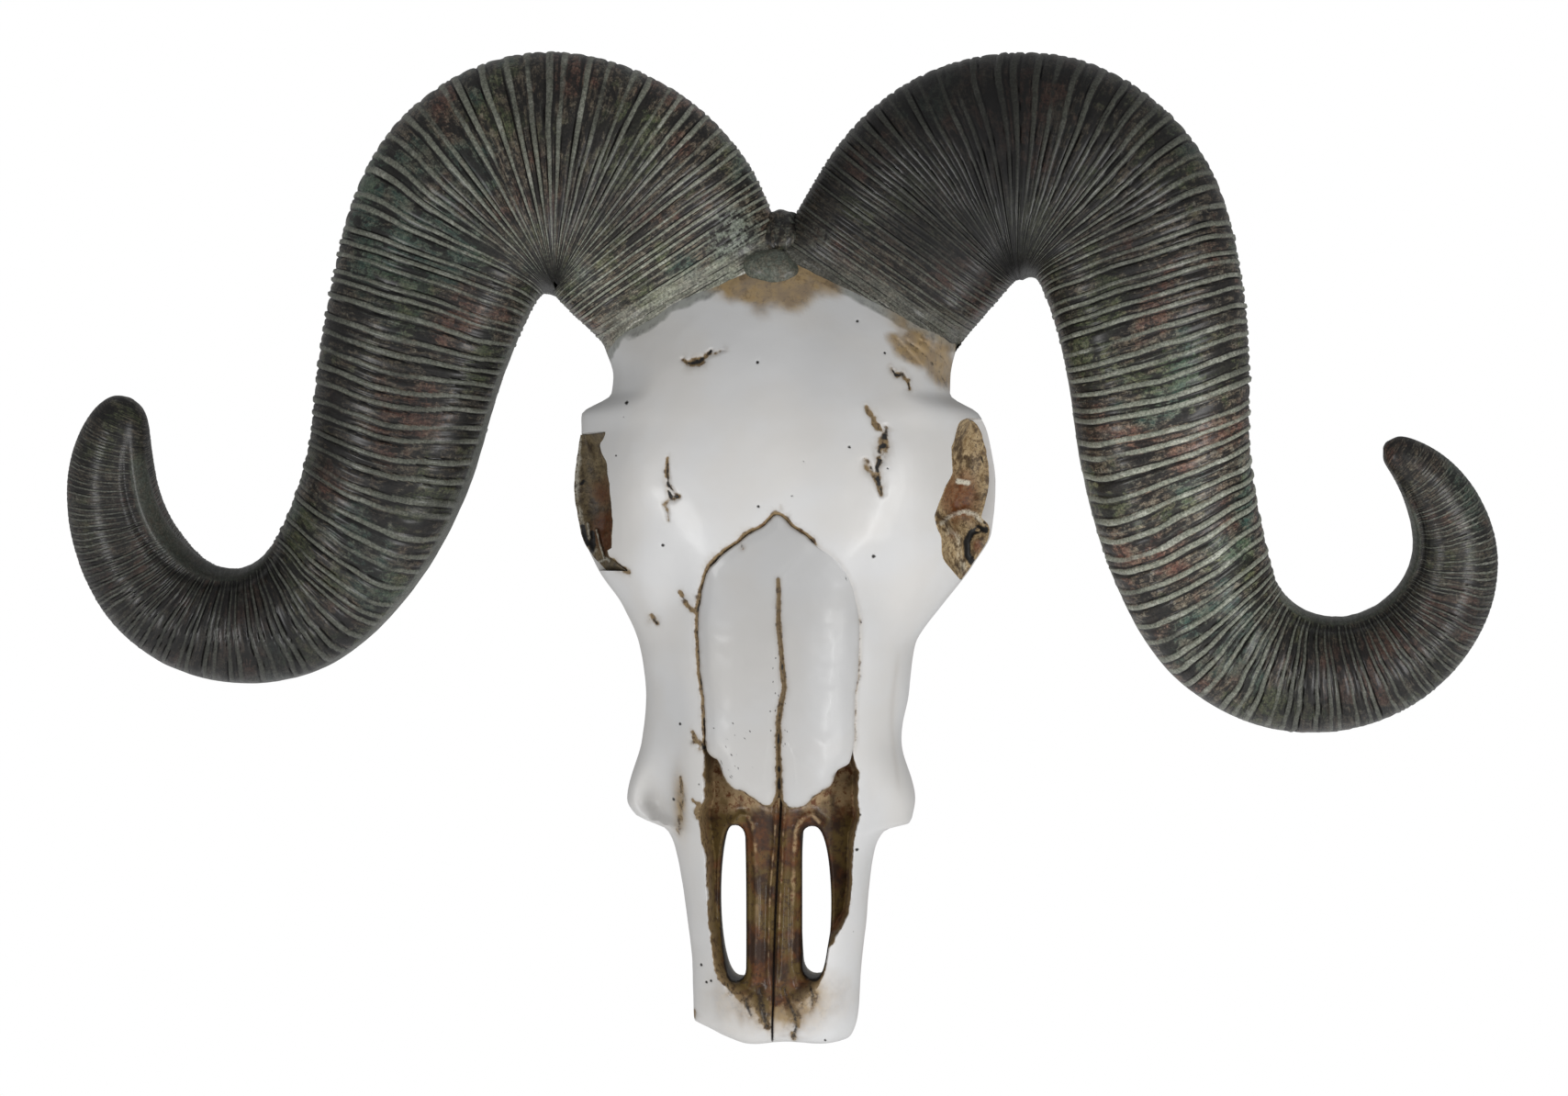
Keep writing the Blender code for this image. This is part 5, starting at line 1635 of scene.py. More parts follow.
    def drawn_in(self, x: np.ndarray, z: np.ndarray) -> tuple[np.ndarray, np.ndarray]:
        """Draws the sheet towards its middle by the joint's width."""
        middle_x, middle_z = float(np.mean(x)), float(np.mean(z))
        reach_x, reach_z = float(np.ptp(x)) / 2, float(np.ptp(z)) / 2
        return x - self.inset * (x - middle_x) / reach_x, z - self.inset * (z - middle_z) / reach_z

    def paint(self, made: bpy.types.Object) -> None:
        """Fills in the paint's remaining numbers."""
        points = read_points(made)
        x, y, z = points.T
        behind = smooth_step(1.6, 3.0, y + FORM.standoff(x, z))
        wash, dark = read_number(made, "wash"), read_number(made, "dark")
        for crack in CRACKS:
            _, line, halo = crack.draw(x, z, np.zeros(x.shape))
            wash, dark = np.maximum(wash, halo), np.maximum(dark, line)
        for across, height, radius in SPECKS + splatter(self.fine_specks):
            dark = np.maximum(dark, bump(np.hypot(x - across, z - height), radius))
        numbers = {"wash": np.maximum(wash, behind), "dark": np.maximum(dark, 0.7 * behind)}
        numbers |= {name: np.zeros(x.shape) for name in ("pale", "rust", "smear", "bare")}
        # The plate's painted shade, stored as its tone and shade number.
        tone = eased(self.painted_shade_across, x) * eased(self.painted_shade_down, z)
        write_numbers(made, numbers | {"deep": behind, "tint": tone})


@dataclass(frozen=True)
class Lump:
    """A lump, strut or hole on the wall of an eye socket."""

    path: Path
    width: float
    rise: float
    pale: float = 0.0
    # How black a hole is painted, as painted shade inside it.
    dark: float = 0.0


@dataclass
class EyeSocket:
    """One eye socket: the pocket in the bone and the rough stained bowl that lines it."""

    side: Side
    front: Table
    rear_rim: Table
    depth: Table
    lumps: tuple[Lump, ...]
    rust_spots: tuple[tuple[float, float, float, float], ...]
    pale_zone: Table
    rear: float = -33.0
    seed: int = 5
    rows: int = 150
    columns: int = 64
    wall: float = 4.6
    lip: float = 0.9
    gap: float = 0.2
    overrun: float = 30.0
    front_tuck: Triple = (0.25, 0.3, 0.0)
    rear_tuck: Triple = (-0.2, 0.1, 0.0)

    def rims(self, height: np.ndarray) -> tuple[np.ndarray, ...]:
        """The front rim's across and depth and the rear rim's, with the wear of the edge."""
        marks = flat_places(height, np.zeros(height.shape))
        front_x = eased(self.front, height) + 0.35 * rough_noise(marks, 4.0, self.seed, 4)
        hand = self.side.value
        half = FORM.half(np.full(height.shape, float(hand)), height)
        rear_x = half - eased(self.rear_rim, height) + 0.25 * rough_noise(marks, 3.0, self.seed + 1, 3)
        rear_x = np.maximum(rear_x, front_x + 0.8)
        front_y = -FORM.standoff(hand * front_x, height)
        return front_x, front_y, rear_x, np.full(height.shape, self.rear)

    def arc(self, height: np.ndarray, turn: np.ndarray, shrink: float) -> np.ndarray:
        """The wall of the socket from the front rim round the inside to the rear rim.

        Args:
            height: Height of each row.
            turn: 0 at the front rim and pi at the rear rim, for each column.
            shrink: How much shallower than the pocket.

        Returns:
            Places in millimetres, rows by columns by 3, on the positive side.
        """
        front_x, front_y, rear_x, rear_y = self.rims(height)
        middle_x, middle_y = (front_x + rear_x) / 2, (front_y + rear_y) / 2
        run_x, run_y = rear_x - front_x, rear_y - front_y
        length = np.hypot(run_x, run_y)
        inward_x, inward_y = -run_y / length, run_x / length
        depth = np.maximum(eased(self.depth, height) - shrink, 0.4)
        c, s = np.cos(turn)[None, :], np.sin(turn)[None, :] ** 0.85
        x = middle_x[:, None] - c * run_x[:, None] / 2 + s * (inward_x * depth)[:, None]
        y = middle_y[:, None] - c * run_y[:, None] / 2 + s * (inward_y * depth)[:, None]
        return np.stack([x, y, np.broadcast_to(height[:, None], x.shape)], axis=-1)

    def pocket(self) -> bpy.types.Object:
        """The guide that the bone is cut with."""
        height = np.linspace(self.front[-1][0], self.front[0][0], self.rows + 1)
        turn = np.linspace(0.0, math.pi, self.columns + 1)
        inner = self.arc(height, turn, 0.0)
        front, rear = inner[:, :1], inner[:, -1:]
        out = self.overrun
        beyond_rear = rear + np.array([out, 0.0, 0.0])
        corner = np.concatenate([rear[..., :1] + out, front[..., 1:2] - out, rear[..., 2:]], axis=-1)
        before_front = front + np.array([0.0, -out, 0.0])
        places = np.concatenate([inner, beyond_rear, corner, before_front, front], axis=1)
        places[..., 0] *= self.side.value
        sheet = grid_sheet(places.shape[1] - 1, self.rows)
        lay_on(sheet, places * MM)
        close_tube(sheet)
        return to_object(sheet, f"pocket_{self.side.label}")

    def build(self) -> bpy.types.Object:
        """Builds the bowl.

        Returns:
            The finished mesh, undressed.
        """
        top, foot = self.front[-1][0] - 0.2, self.front[0][0] + 0.2
        height = np.linspace(top, foot, self.rows + 1)
        turn = np.linspace(0.0, math.pi, self.columns + 1)
        back = self.arc(height, turn, self.gap)
        face = self.arc(height, turn, self.wall)
        ease = (np.sin(turn) ** np.where(turn < math.pi / 2, 0.25, 0.9))[None, :, None]
        back[:, 0] += self.front_tuck
        back[:, -1] += self.rear_tuck
        face = back * (1 - ease) + face * ease
        face[..., 1] -= self.lip * smooth_step(0.0, 0.12, np.sin(turn))[None, :]
        rise, marks = self.relief(face)
        face[..., 1] -= rise * np.sin(turn)[None, :] ** 0.7
        places = np.concatenate([back, face[:, ::-1], back[:, :1]], axis=1)
        places[..., 0] *= self.side.value
        plain = np.zeros(back.shape[:2])
        numbers = {
            name: np.concatenate([plain, mark[:, ::-1], plain[:, :1]], axis=1) for name, mark in marks.items()
        }
        sheet = grid_sheet(places.shape[1] - 1, self.rows)
        lay_on(sheet, places * MM, numbers)
        close_tube(sheet)
        made = to_object(sheet, f"socket_bowl_{self.side.label}")
        round_shading(made, 70.0)
        return made

    def relief(self, face: np.ndarray) -> tuple[np.ndarray, dict[str, np.ndarray]]:
        """Lumps and holes on the wall, and the paint that follows them."""
        x, z = face[..., 0], face[..., 2]
        rough = rough_noise(face, 5.0, self.seed + 2, 4)
        crusty = rough_noise(face, 2.2, self.seed + 3, 3)
        rise = 1.1 * rough + 0.5 * crusty
        pale = np.clip(0.25 * crusty, 0, 1)
        dark = np.clip(-0.9 * rough - 0.25, 0, 1) * 0.35
        for lump in self.lumps:
            far, _ = path_distance(x, z, lump.path)
            weight = bump(far, lump.width * (1 + 0.2 * rough))
            rise = rise + lump.rise * weight
            pale = np.maximum(pale, lump.pale * weight) * (1 - lump.dark * weight)
            # Holes are painted black as painted shade inside them.
            dark = np.maximum(dark * (1 - lump.pale * weight), lump.dark * bump(far, lump.width * 0.95))
        rust = np.zeros(x.shape)
        for across, height, radius, strength in self.rust_spots:
            away = np.hypot(x - across, (z - height) * 0.7)
            rust = np.maximum(rust, strength * bump(away, radius * (1 + 0.4 * rough)))
        edge = FORM.half(np.full(z.shape, float(self.side.value)), z) - x
        rim = bump(np.clip(edge, 0, None), eased(self.pale_zone, z) + 0.01)
        pale = np.maximum(pale, rim * np.clip(0.7 + 0.6 * crusty, 0, 1))
        marks = {"pale": pale, "dark": dark, "rust": rust}
        return rise, {name: np.clip(mark, 0, 1) for name, mark in marks.items()}


SOCKETS = (
    EyeSocket(
        side=Side.LEFT,
        front=((-101.4, 57.6), (-99.0, 61.0), (-96.0, 65.0), (-93.6, 65.6), (-92.4, 63.6), (-88.0, 63.2),
               (-82.0, 62.9), (-76.0, 63.2), (-70.7, 63.7), (-65.0, 64.4), (-59.3, 65.4), (-55.0, 67.6),
               (-52.4, 68.4), (-50.4, 66.8), (-48.3, 65.9), (-47.6, 66.4)),
        rear_rim=((-101.4, 3.0), (-96.0, 0.6), (-90.0, -0.6), (-60.0, -0.7), (-56.0, -0.8), (-47.6, -0.8)),
        depth=((-101.4, 2.0), (-97.0, 8.0), (-90.0, 14.0), (-76.0, 17.5), (-60.0, 14.0), (-50.0, 9.0),
               (-47.6, 7.0)),
        lumps=(
            Lump(((80.5, -58.0), (80.8, -70.0), (80.0, -80.0), (78.0, -84.0)), 2.4, 2.2, 0.45),
            Lump(((78.6, -84.0), (76.6, -91.0)), 1.3, -2.5, 0.0, 1.0),
            Lump(((75.0, -86.6), (74.4, -94.0)), 1.5, -2.5, 0.0, 1.0),
            Lump(((76.4, -83.0), (75.9, -88.6)), 0.7, 2.5, 0.85),
            Lump(((73.0, -85.4), (71.2, -92.0), (69.4, -97.0)), 0.55, 3.2, 0.9),
            Lump(((74.2, -94.6), (73.2, -93.0)), 0.9, 1.6, 0.6),
            Lump(((73.0, -98.6), (68.6, -96.6), (66.6, -97.6)), 0.8, 1.2, 0.8),
            Lump(((79.0, -67.2), (78.2, -66.2)), 0.9, -0.8, 0.0, 0.9),
        ),
        rust_spots=((69.0, -84.0, 7.0, 1.0), (67.0, -90.0, 5.0, 0.9), (70.0, -72.0, 7.0, 0.7)),
        pale_zone=((-101, 0.5), (-88, 1.4), (-82, 2.2), (-60, 2.0), (-54, 0.6), (-47, 0.1)),
        seed=205,
    ),
    EyeSocket(
        side=Side.RIGHT,
        front=((-104.9, 70.3), (-101.0, 67.2), (-96.4, 64.0), (-93.0, 63.5), (-88.7, 63.5), (-84.5, 61.8),
               (-81.0, 61.2), (-76.0, 62.4), (-72.0, 64.0), (-69.7, 64.9), (-66.0, 66.8), (-63.0, 67.8),
               (-59.5, 67.6), (-54.0, 67.4), (-50.6, 68.4), (-46.0, 69.6), (-43.7, 70.8), (-42.2, 73.6)),
        rear_rim=((-104.9, 0.4), (-90.0, 0.3), (-86.0, 0.4), (-83.0, 1.6), (-80.0, 4.3), (-75.0, 3.4),
                  (-65.0, 1.9), (-55.0, 1.8), (-47.0, 2.2), (-44.0, 2.6), (-42.2, 3.6)),
        depth=((-104.9, 3.0), (-98.0, 9.0), (-90.0, 13.0), (-76.0, 17.5), (-60.0, 14.0), (-48.0, 9.0),
               (-42.2, 4.0)),
        lumps=(
            Lump(((63.0, -83.0), (67.0, -79.6), (72.0, -78.0), (76.5, -79.4), (79.0, -83.0)), 1.7, 3.2, 0.6),
            Lump(((66.0, -86.0), (70.0, -89.0), (71.0, -96.0), (72.0, -101.0)), 3.2, 2.4, 0.45),
            Lump(((77.6, -84.6), (80.6, -85.6)), 1.6, -1.6, 0.0, 0.9),
            Lump(((77.2, -85.6), (74.8, -86.4), (73.0, -90.0), (73.4, -95.5), (75.2, -98.0)),
                 1.7, -2.4, 0.0, 1.0),
            Lump(((77.4, -90.0), (76.8, -93.4)), 2.3, 2.2, 0.35),
            Lump(((80.0, -82.6), (80.4, -82.2)), 0.8, -0.8, 0.0, 0.9),
            Lump(((78.4, -56.2), (79.4, -58.8)), 0.6, -0.6, 0.0, 0.7),
            Lump(((69.6, -66.4), (73.6, -67.0)), 1.3, 0.8, 0.9),
        ),
        rust_spots=((70.0, -73.0, 8.0, 1.0), (68.0, -87.0, 3.0, 0.6), (74.0, -60.0, 5.0, 0.35),
                    (77.2, -91.5, 2.6, 0.9)),
        pale_zone=((-105, 0.2), (-84, 0.5), (-70, 0.8), (-42, 0.5)),
        seed=305,
    ),
)


@dataclass
class CrownBoss:
    """The smooth boss at the crown, and the rough web that fills the notch between the horns."""

    centre: Triple = (-2.8, -60.0, 14.6)
    radii: Triple = (11.6, 9.5, 8.4)
    lean: float = 12.0
    web_centre: Triple = (-0.5, -45.0, 25.5)
    web_radii: Triple = (12.5, 15.0, 13.2)

    def lumpy(
        self, name: str, centre: Triple, radii: Triple, turn: float, lumps: float, seed: int
    ) -> bpy.types.Object:
        """An egg-shaped lump with an uneven surface.

        Args:
            name: Name of the piece.
            centre: Its centre.
            radii: Half its size along X, Y and Z.
            turn: Turn about the line of sight, in degrees.
            lumps: Height of the unevenness.
            seed: Which noise of many.

        Returns:
            The finished mesh, undressed.
        """
        build = bmesh.new()
        bmesh.ops.create_icosphere(build, subdivisions=5, radius=1.0)
        bmesh.ops.transform(
            build,
            matrix=Matrix.Translation(Vector(centre) * MM)
            @ Matrix.Rotation(math.radians(turn), 4, "Y")
            @ Matrix.Diagonal((*(radius * MM for radius in radii), 1.0)),
            verts=build.verts,
        )
        made = to_object(build, name)
        points, normals = read_points(made), read_normals(made)
        points += normals * (lumps * rough_noise(points, 7.0, seed, 4))[:, None]
        write_points(made, points)
        round_shading(made, 80.0)
        return made

    def build_boss(self) -> bpy.types.Object:
        """The smooth boss."""
        made = self.lumpy("crown_lump", self.centre, self.radii, self.lean, 1.4, 91)
        # The boss's paint is lightened all over by its tone and shade number.
        self.mark(made, plain=1.0, tint=1.15)
        return made

    def build_web(self) -> bpy.types.Object:
        """The rough web between the horns."""
        made = self.lumpy("horn_web", self.web_centre, self.web_radii, 0.0, 3.2, 95)
        # The web is painted a little lighter all over, as painted light.
        self.mark(made, crown=0.6, tint=1.1)
        return made

    def mark(self, made: bpy.types.Object, **values: float) -> None:
        """Stores the paint's numbers, the same all over the piece."""
        points = read_points(made)
        names = ("ridge", "groove", "plain", "near_seat", "crown", "tint")
        write_numbers(made, {name: np.full(len(points), values.get(name, 0.0)) for name in names})
        write_vector(made, "flow", points)


# Finishes.


class Bench:
    """A material on the bench: adds nodes, one call a node, and gives back their outputs."""

    def __init__(self, name: str) -> None:
        """Starts a material with a shader ready to be fed."""
        self.material = bpy.data.materials.new(name)
        self.material.use_nodes = True
        self.tree = self.material.node_tree
        self.shader = self.tree.nodes["Principled BSDF"]
        self.place = self.node("ShaderNodeTexCoord").outputs["Object"]

    def node(self, kind: str, **settings: object) -> bpy.types.Node:
        """Adds a node with settings."""
        node = self.tree.nodes.new(kind)
        for key, value in settings.items():
            setattr(node, key, value)
        return node

    def feed(self, socket: bpy.types.NodeSocket, value: object) -> None:
        """Links an output to a socket, or sets a constant on it."""
        if isinstance(value, bpy.types.NodeSocket):
            self.tree.links.new(value, socket)
        elif isinstance(value, tuple) and len(value) == 3 and socket.type == "RGBA":
            socket.default_value = (*value, 1.0)
        else:
            socket.default_value = value

    def number(self, name: str) -> bpy.types.NodeSocket:
        """A number stored on the mesh."""
        return self.output("ShaderNodeAttribute", "Fac", {}, attribute_name=name)

    def vector(self, name: str) -> bpy.types.NodeSocket:
        """A vector stored on the mesh."""
        return self.output("ShaderNodeAttribute", "Vector", {}, attribute_name=name)

    def output(
        self, kind: str, socket: str, inputs: dict[str, object], **settings: object
    ) -> bpy.types.NodeSocket:
        """Adds a node with settings, feeds its inputs by name and gives back one output."""
        node = self.node(kind, **settings)
        for name, value in inputs.items():
            self.feed(node.inputs[name], value)
        return node.outputs[socket]

    def stretched(self, source: bpy.types.NodeSocket, scale: Triple) -> bpy.types.NodeSocket:
        """Coordinates scaled along their axes."""
        return self.output("ShaderNodeMapping", "Vector", {"Vector": source, "Scale": scale})

    def grain(
        self, source: bpy.types.NodeSocket, scale: float, detail: float, rough: float, twist: float = 0.0
    ) -> bpy.types.NodeSocket:
        """Cloudy noise from 0 to 1.

        Args:
            source: The coordinates.
            scale: How often it repeats in a unit of them.
            detail: How many finer layers it has.
            rough: How strong the finer layers are.
            twist: How much it is warped.

        Returns:
            The noise.
        """
        inputs = {"Vector": source, "Scale": scale, "Detail": detail, "Roughness": rough, "Distortion": twist}
        return self.output("ShaderNodeTexNoise", "Fac", inputs)

    def span(
        self, value: bpy.types.NodeSocket, low: float, high: float, first: float = 0.0, last: float = 1.0
    ) -> bpy.types.NodeSocket:
        """Stretches the range from low to high to that from first to last, smoothly and clamped."""
        inputs = {"Value": value, "From Min": low, "From Max": high, "To Min": first, "To Max": last}
        return self.output("ShaderNodeMapRange", "Result", inputs, interpolation_type="SMOOTHSTEP")

    def maths(self, kind: str, first: object, second: object, clamp: bool = False) -> bpy.types.NodeSocket:
        """One sum."""
        node = self.node("ShaderNodeMath", operation=kind, use_clamp=clamp)
        self.feed(node.inputs[0], first)
        self.feed(node.inputs[1], second)
        return node.outputs[0]

    def times(self, first: object, second: object) -> bpy.types.NodeSocket:
        """One number times another."""
        return self.maths("MULTIPLY", first, second)

    def broken(
        self, value: bpy.types.NodeSocket, grain: bpy.types.NodeSocket, amount: float, low: float, high: float
    ) -> bpy.types.NodeSocket:
        """A mask whose edge is broken up by grain.

        Args:
            value: The mask.
            grain: The noise.
            amount: How far the noise moves it.
            low: The value where the mask starts.
            high: The value where it is full.

        Returns:
            The broken mask.
        """
        shift = self.maths("MULTIPLY_ADD", grain, amount)
        shift.node.inputs[2].default_value = -amount / 2
        return self.span(self.maths("ADD", value, shift), low, high)

    def blend(self, share: object, first: object, second: object, kind: str = "MIX") -> bpy.types.NodeSocket:
        """Mixes two colours."""
        node = self.node("ShaderNodeMix", data_type="RGBA", blend_type=kind)
        self.feed(node.inputs["Factor"], share)
        self.feed(node.inputs[6], first)
        self.feed(node.inputs[7], second)
        return node.outputs[2]

    def coats(self, tone: object, *layers: tuple[object, object]) -> bpy.types.NodeSocket:
        """Lays coats over a tone, each a mask and a colour."""
        for mask, colour in layers:
            tone = self.blend(mask, tone, colour)
        return tone

    def shaded(self, tone: object, *factors: object) -> bpy.types.NodeSocket:
        """A tone times each of the factors."""
        for factor in factors:
            tone = self.blend(1.0, tone, factor, "MULTIPLY")
        return tone

    def dress(self, inputs: dict[str, object]) -> bpy.types.Material:
        """Feeds the shader's inputs by name and gives back the finished material."""
        for name, value in inputs.items():
            self.feed(self.shader.inputs[name], value)
        return self.material

    def relief(self, *layers: tuple[bpy.types.NodeSocket, float, float]) -> bpy.types.NodeSocket:
        """Bump from layers of height, strength and depth in metres."""
        below: dict[str, object] = {}
        for height, strength, depth in layers:
            inputs = {"Height": height, "Strength": strength, "Distance": depth, **below}
            below = {"Normal": self.output("ShaderNodeBump", "Normal", inputs)}
        return below["Normal"]


def srgb(red: int, green: int, blue: int) -> Triple:
    """A colour from 0 to 255 as linear light."""
    shares = (red / 255, green / 255, blue / 255)
    return tuple(c / 12.92 if c <= 0.04045 else ((c + 0.055) / 1.055) ** 2.4 for c in shares)


@dataclass(frozen=True)
class BoneFinish:
    """Cast bone: satin off-white paint, with brown and black wash where the relief holds it."""

    white: Triple = srgb(220, 220, 220)
    warm: Triple = srgb(218, 216, 213)
    halo: Triple = srgb(136, 114, 80)
    brown: Triple = srgb(100, 56, 18)
    dark_brown: Triple = srgb(50, 28, 10)
    olive: Triple = srgb(98, 78, 34)
    black: Triple = srgb(20, 17, 15)
    dark_wash_and_shade: Triple = srgb(34, 19, 8)
    tan: Triple = srgb(168, 142, 104)
    stain: Triple = srgb(166, 140, 98)
    old_stain: Triple = srgb(134, 108, 68)
    grey: Triple = srgb(126, 130, 121)
    cast: Triple = srgb(205, 199, 186)
    roughness: float = 0.42
    stained_roughness: float = 0.72
    coat: float = 0.18
    coat_roughness: float = 0.14

    def material(self) -> bpy.types.Material:
        """Builds the material."""
        bench = Bench("bone_paint")
        fine = bench.grain(bench.place, 1000.0, 3.0, 0.65)
        speck = bench.grain(bench.place, 380.0, 4.0, 0.7)
        medium = bench.grain(bench.place, 110.0, 4.0, 0.6)
        broad = bench.grain(bench.place, 26.0, 3.0, 0.5)
        mottle = bench.grain(bench.place, 62.0, 4.0, 0.6)
        wash, dark, deep = bench.number("wash"), bench.number("dark"), bench.number("deep")
        smear = bench.broken(bench.number("smear"), medium, 0.8, 0.25, 0.95)
        smear_tone = bench.blend(bench.span(speck, 0.45, 0.62, 0.0, 0.6), self.grey, self.black)
        tone = bench.blend(bench.span(medium, 0.38, 0.6), self.brown, self.dark_brown)
        inner = bench.blend(bench.span(mottle, 0.42, 0.58), self.olive, tone)
        wash_tone = bench.coats(
            self.halo, (deep, inner), (bench.span(speck, 0.5, 0.62, 0.0, 0.7), self.dark_brown)
        )
        stain = bench.times(bench.number("rust"), bench.span(medium, 0.3, 0.6, 1.0, 0.86))
        stain_tone = bench.coats(
            self.stain,
            (bench.span(medium, 0.4, 0.6), self.old_stain),
            (bench.span(speck, 0.52, 0.64, 0.0, 0.38), self.dark_brown),
        )
        washed = bench.maths("MAXIMUM", bench.broken(wash, speck, 0.75, 0.3, 0.75), bench.times(wash, 0.6))
        pale_tone = bench.blend(bench.span(speck, 0.45, 0.65), self.tan, self.brown)
        paint = bench.coats(
            self.white,
            (bench.span(broad, 0.35, 0.65), self.warm),
            (bench.times(smear, 0.7), smear_tone),
            (stain, stain_tone),
            (washed, wash_tone),
            (bench.broken(bench.number("pale"), speck, 0.7, 0.35, 0.9), pale_tone),
            # Black and dark brown over cracks, specks and pits, and black painted shade on the slots' walls.
            (bench.broken(dark, fine, 0.6, 0.25, 0.75), bench.blend(deep, self.black, self.dark_wash_and_shade)),
            (bench.number("bare"), self.cast),
        )
        stained = bench.maths("MAXIMUM", wash, dark, clamp=True)
        rough = bench.span(stained, 0.1, 0.9, self.roughness, self.stained_roughness)
        return bench.dress({
            # The tone and shade number darkens the right of the forehead and the nasal plate, as painted
            # shade.
            "Base Color": bench.shaded(paint, bench.number("tint")),
            "Roughness": bench.maths("ADD", rough, bench.span(fine, 0.3, 0.7, -0.03, 0.06)),
            "Normal": bench.relief((broad, 0.1, 0.002), (medium, 0.1, 0.0006), (speck, 0.2, 0.00012)),
            "Coat Weight": self.coat,
            "Coat Roughness": self.coat_roughness,
        })


@dataclass(frozen=True)
class HornFinish:
    """Painted horn: grainy brown-black bands between worn grey-green ridges."""

    black: Triple = srgb(20, 18, 17)
    brown: Triple = srgb(98, 88, 74)
    # Pale mottling: partly dust in the paint, partly a painted sheen standing in for broken highlights.
    dust_and_sheen: Triple = srgb(134, 130, 116)
    red: Triple = srgb(118, 74, 60)
    olive: Triple = srgb(84, 98, 62)
    teal: Triple = srgb(64, 96, 86)
    ridge: Triple = srgb(118, 121, 109)
    worn: Triple = srgb(150, 152, 141)
    strip: Triple = srgb(100, 106, 96)
    root: Triple = srgb(138, 138, 127)
    smear: Triple = srgb(196, 195, 186)
    roughness: float = 0.4
    specular: float = 0.22
    coat: float = 0.5
    coat_roughness: float = 0.27

    def material(self) -> bpy.types.Material:
        """Builds the material."""
        bench = Bench("horn_paint")
        flow = bench.vector("flow")
        streaks = bench.grain(bench.stretched(flow, (1.5, 0.17, 0.17)), 0.9, 5.0, 0.75, 0.2)
        drawn = bench.grain(bench.stretched(flow, (0.5, 0.08, 0.08)), 1.0, 4.0, 0.65, 0.2)
        grit = bench.grain(bench.place, 1050.0, 3.0, 0.75)
        speck = bench.grain(bench.place, 420.0, 4.0, 0.7)
        patch = bench.grain(bench.place, 34.0, 4.0, 0.6)
        shade = bench.grain(bench.place, 21.0, 3.0, 0.6)
        cloud = bench.grain(bench.place, 90.0, 4.0, 0.65)
        blotch = bench.grain(bench.stretched(flow, (0.2, 0.06, 0.06)), 1.0, 5.0, 0.7, 0.3)
        pits = bench.grain(bench.place, 330.0, 3.0, 0.7)
        near_seat = bench.number("near_seat")
        rooted = bench.maths("SUBTRACT", 1.0, bench.times(near_seat, 0.85))
        groove = bench.broken(bench.number("groove"), grit, 0.4, 0.25, 0.75)
        ridge_tone = bench.coats(
            self.ridge,
            (bench.span(cloud, 0.5, 0.7), self.worn),
            (bench.span(speck, 0.52, 0.68, 0.0, 0.45), self.brown),
        )
        strip_tone = bench.blend(bench.span(speck, 0.46, 0.66, 0.0, 0.6), self.strip, self.brown)
        crown_tone = bench.blend(bench.span(pits, 0.44, 0.54), self.strip, self.black)
        tone = bench.coats(
            self.black,
            (bench.span(streaks, 0.42, 0.6), self.brown),
            # Pale speckle, partly dust and partly a painted sheen for the broken highlights.
            (bench.span(speck, 0.5, 0.66, 0.0, 0.45), self.dust_and_sheen),
            (bench.span(patch, 0.52, 0.64, 0.0, 0.42), self.red),
            (bench.span(patch, 0.38, 0.47, 0.42, 0.0), self.olive),
            (bench.span(shade, 0.36, 0.46, 0.42, 0.0), self.teal),
            (bench.span(pits, 0.5, 0.6, 0.0, 0.75), self.black),
            (bench.times(bench.broken(near_seat, drawn, 1.3, 0.3, 0.85), 0.6), self.root),
            (bench.times(bench.broken(near_seat, drawn, 2.2, 1.0, 1.3), 0.7), self.smear),
            (bench.times(bench.span(blotch, 0.5, 0.57, 0.0, 0.9), rooted), self.black),
            (bench.times(bench.broken(bench.number("ridge"), cloud, 0.6, 0.25, 0.7), 0.88), ridge_tone),
            (bench.times(bench.broken(bench.number("plain"), cloud, 0.7, 0.3, 0.8), 0.75), strip_tone),
            (bench.span(shade, 0.52, 0.64, 0.0, 0.4), self.black),
            (bench.times(groove, 0.94), self.black),
            (bench.times(bench.broken(bench.number("crown"), cloud, 0.8, 0.4, 0.8), 0.8), crown_tone),
        )
        rough = bench.span(blotch, 0.4, 0.6, self.roughness, self.roughness + 0.2)
        return bench.dress({
            # The tone and shade number lays painted shade on the arch tops and hooks and a painted highlight
            # on the shafts, with the paint's own tone.
            "Base Color": bench.shaded(tone, bench.span(grit, 0.34, 0.62, 1.34, 0.6), bench.number("tint")),
            "Specular IOR Level": self.specular,
            "Coat Weight": self.coat,
            "Coat Roughness": self.coat_roughness,
            "Roughness": bench.maths("ADD", rough, bench.span(groove, 0.0, 1.0, 0.0, 0.2)),
            "Normal": bench.relief(
                (streaks, 0.6, 0.0008), (cloud, 0.5, 0.0012), (speck, 0.5, 0.0004), (grit, 0.4, 0.00015)
            ),
        })


